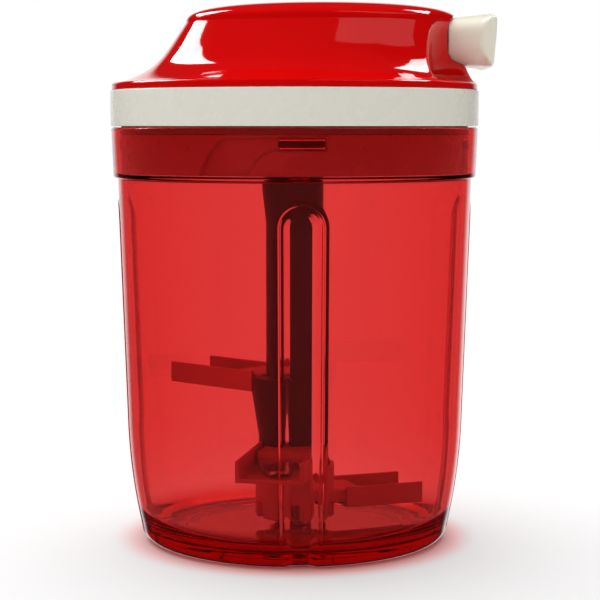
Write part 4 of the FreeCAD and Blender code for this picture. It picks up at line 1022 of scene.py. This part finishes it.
def math_node(tree, operation, first, second):
    """One sum in a node tree, of sockets or numbers."""
    node = tree.nodes.new("ShaderNodeMath")
    node.operation = operation
    for number, value in enumerate((first, second)):
        if isinstance(value, (int, float)):
            node.inputs[number].default_value = value
        else:
            tree.links.new(value, node.inputs[number])
    return node.outputs["Value"]


def ranged(tree, source, start, end):
    """0 where the source is at start or before it, 1 at end or past it, with a soft curve between."""
    stretch = tree.nodes.new("ShaderNodeMapRange")
    stretch.interpolation_type = "SMOOTHSTEP"
    stretch.inputs["From Min"].default_value = start
    stretch.inputs["From Max"].default_value = end
    tree.links.new(source, stretch.inputs["Value"])
    return stretch.outputs["Result"]


def make_world():
    """White backdrop low at the back and a dark studio for reflections, soft even light for the rest."""
    world = bpy.data.worlds.new("studio")
    bpy.context.scene.world = world
    world.use_nodes = True
    tree = world.node_tree
    path = tree.nodes.new("ShaderNodeLightPath")
    place = tree.nodes.new("ShaderNodeTexCoord")
    parts = tree.nodes.new("ShaderNodeSeparateXYZ")
    tree.links.new(place.outputs["Generated"], parts.inputs["Vector"])
    back = ranged(tree, parts.outputs["Y"], 0.82, 0.95)
    low = ranged(tree, parts.outputs["Z"], 0.34, 0.24)
    backdrop = math_node(tree, "MULTIPLY", back, low)
    mirrored = math_node(tree, "ADD", math_node(tree, "MULTIPLY", backdrop, BACKDROP), DARK_STUDIO)
    seen = math_node(tree, "MAXIMUM", path.outputs["Is Camera Ray"], path.outputs["Is Transmission Ray"])
    glossy = tree.nodes.new("ShaderNodeMix")
    glossy.inputs["A"].default_value = AMBIENT
    tree.links.new(path.outputs["Is Glossy Ray"], glossy.inputs["Factor"])
    tree.links.new(mirrored, glossy.inputs["B"])
    final = tree.nodes.new("ShaderNodeMix")
    final.inputs["B"].default_value = 1.0
    tree.links.new(seen, final.inputs["Factor"])
    tree.links.new(glossy.outputs["Result"], final.inputs["A"])
    background = tree.nodes["Background"]
    background.inputs["Color"].default_value = (1, 1, 1, 1)
    tree.links.new(final.outputs["Result"], background.inputs["Strength"])


def make_floor():
    """A plain pale floor, with a painted red glow in a ring round the bowl's foot and painted dark red
    shade under the bowl.
    """
    size = 8.0
    painted_glow_start, painted_glow_end = 0.05, 0.07
    corners = [(-size, -size, 0), (size, -size, 0), (size, size, 0), (-size, size, 0)]
    mesh = bpy.data.meshes.new("floor")
    mesh.from_pydata(corners, [], [(0, 1, 2, 3)])
    floor = bpy.data.objects.new("floor", mesh)
    bpy.context.scene.collection.objects.link(floor)
    material, tree, shader = new_material("pale_floor")
    shader.inputs["Base Color"].default_value = (0.5, 0.5, 0.5, 1)
    shader.inputs["Roughness"].default_value = 0.9
    shader.inputs["Specular IOR Level"].default_value = 0.0
    shader.inputs["Emission Strength"].default_value = 0.36
    place = tree.nodes.new("ShaderNodeTexCoord")
    away = tree.nodes.new("ShaderNodeVectorMath")
    away.operation = "LENGTH"
    tree.links.new(place.outputs["Object"], away.inputs["Vector"])
    # Painted light: dark red shade under the bowl, a pink-red glow round its foot, and the plain floor
    # beyond
    painted_glow_and_shade = tree.nodes.new("ShaderNodeValToRGB")
    painted_glow_and_shade.color_ramp.elements[0].color = (0.4, 0.02, 0.02, 1)
    painted_glow_and_shade.color_ramp.elements.new(0.5).color = (1, 0.3, 0.28, 1)
    painted_glow_and_shade.color_ramp.elements[2].color = (1, 1, 1, 1)
    tree.links.new(ranged(tree, away.outputs["Value"], painted_glow_start, painted_glow_end), painted_glow_and_shade.inputs["Fac"])
    tree.links.new(painted_glow_and_shade.outputs["Color"], shader.inputs["Emission Color"])
    mesh.materials.append(material)
    floor.visible_glossy = False


def direction(azimuth, elevation):
    """The unit vector towards an azimuth and elevation in degrees."""
    turn, rise = math.radians(azimuth), math.radians(elevation)
    return Vector((math.cos(rise) * math.cos(turn), math.cos(rise) * math.sin(turn), math.sin(rise)))


def card(name, corners, brightness, distance=2.0):
    """A studio light panel between four directions, which only mirrors see."""
    middle = Vector((0, 0, 0.18))
    mesh = bpy.data.meshes.new(name)
    points = [middle + direction(*corner) * distance for corner in corners]
    mesh.from_pydata(points, [], [tuple(range(len(points)))])
    panel = bpy.data.objects.new(name, mesh)
    bpy.context.scene.collection.objects.link(panel)
    material, _, shader = new_material(name)
    shader.inputs["Base Color"].default_value = (0, 0, 0, 1)
    shader.inputs["Specular IOR Level"].default_value = 0.0
    shader.inputs["Emission Color"].default_value = (1, 1, 1, 1)
    shader.inputs["Emission Strength"].default_value = brightness
    mesh.materials.append(material)
    panel.visible_camera = False
    panel.visible_diffuse = False
    panel.visible_transmission = False
    panel.visible_shadow = False


def make_sun(name, azimuth, elevation, strength, softness):
    """An even light from one side of the sky."""
    light = bpy.data.lights.new(name, "SUN")
    light.energy = strength
    light.angle = math.radians(softness)
    lamp = bpy.data.objects.new(name, light)
    lamp.rotation_euler = direction(azimuth, elevation).to_track_quat("Z", "Y").to_euler()
    lamp.visible_camera = False
    lamp.visible_glossy = False
    bpy.context.scene.collection.objects.link(lamp)


def make_studio():
    """The floor, the surrounding light and the panels that the gloss shows."""
    make_world()
    make_floor()
    make_sun("top_light", 110, 70, 3.2, 70)
    make_sun("front_fill", -115, 25, 0.35, 60)
    card("left_panel", [(117, 27), (147, 27), (147, 46), (117, 49)], 10)
    card("left_panel_dim", [(147, 18), (158, 18), (158, 40), (147, 40)], 0.9)
    card("right_panel_dim", [(-55, 76.5), (-21, 62), (0, 43), (-40, 42), (-75, 66)], 0.6)
    card("right_panel", [(21, 40), (60, 40), (60, 52), (21, 52)], 10)


def make_camera():
    """The camera at the photograph's place."""
    camera = bpy.data.cameras.new("camera")
    camera.sensor_width = 36.0
    camera.lens = 104.5
    view = bpy.data.objects.new("camera", camera)
    view.location = (0.002, -0.647, 0.153)
    view.rotation_euler = (math.radians(90 - 5.68), 0, 0)
    bpy.context.scene.collection.objects.link(view)
    bpy.context.scene.camera = view


def set_rendering():
    """Plain colours, and enough bounces for light to pass through the clear walls."""
    scene = bpy.context.scene
    scene.view_settings.view_transform = "Standard"
    scene.view_settings.look = "None"
    scene.cycles.max_bounces = 24
    scene.cycles.transmission_bounces = 20
    scene.cycles.glossy_bounces = 8
    scene.cycles.diffuse_bounces = 4
    scene.cycles.caustics_reflective = True
    scene.cycles.caustics_refractive = True
    scene.cycles.sample_clamp_indirect = 10.0


finish_cad_nodes()
make_container()
make_cover()
make_handle()
make_cord()
make_lid_base()
make_lug_shade_blocks()
make_band()
make_carrier()
make_studio()
make_camera()
set_rendering()
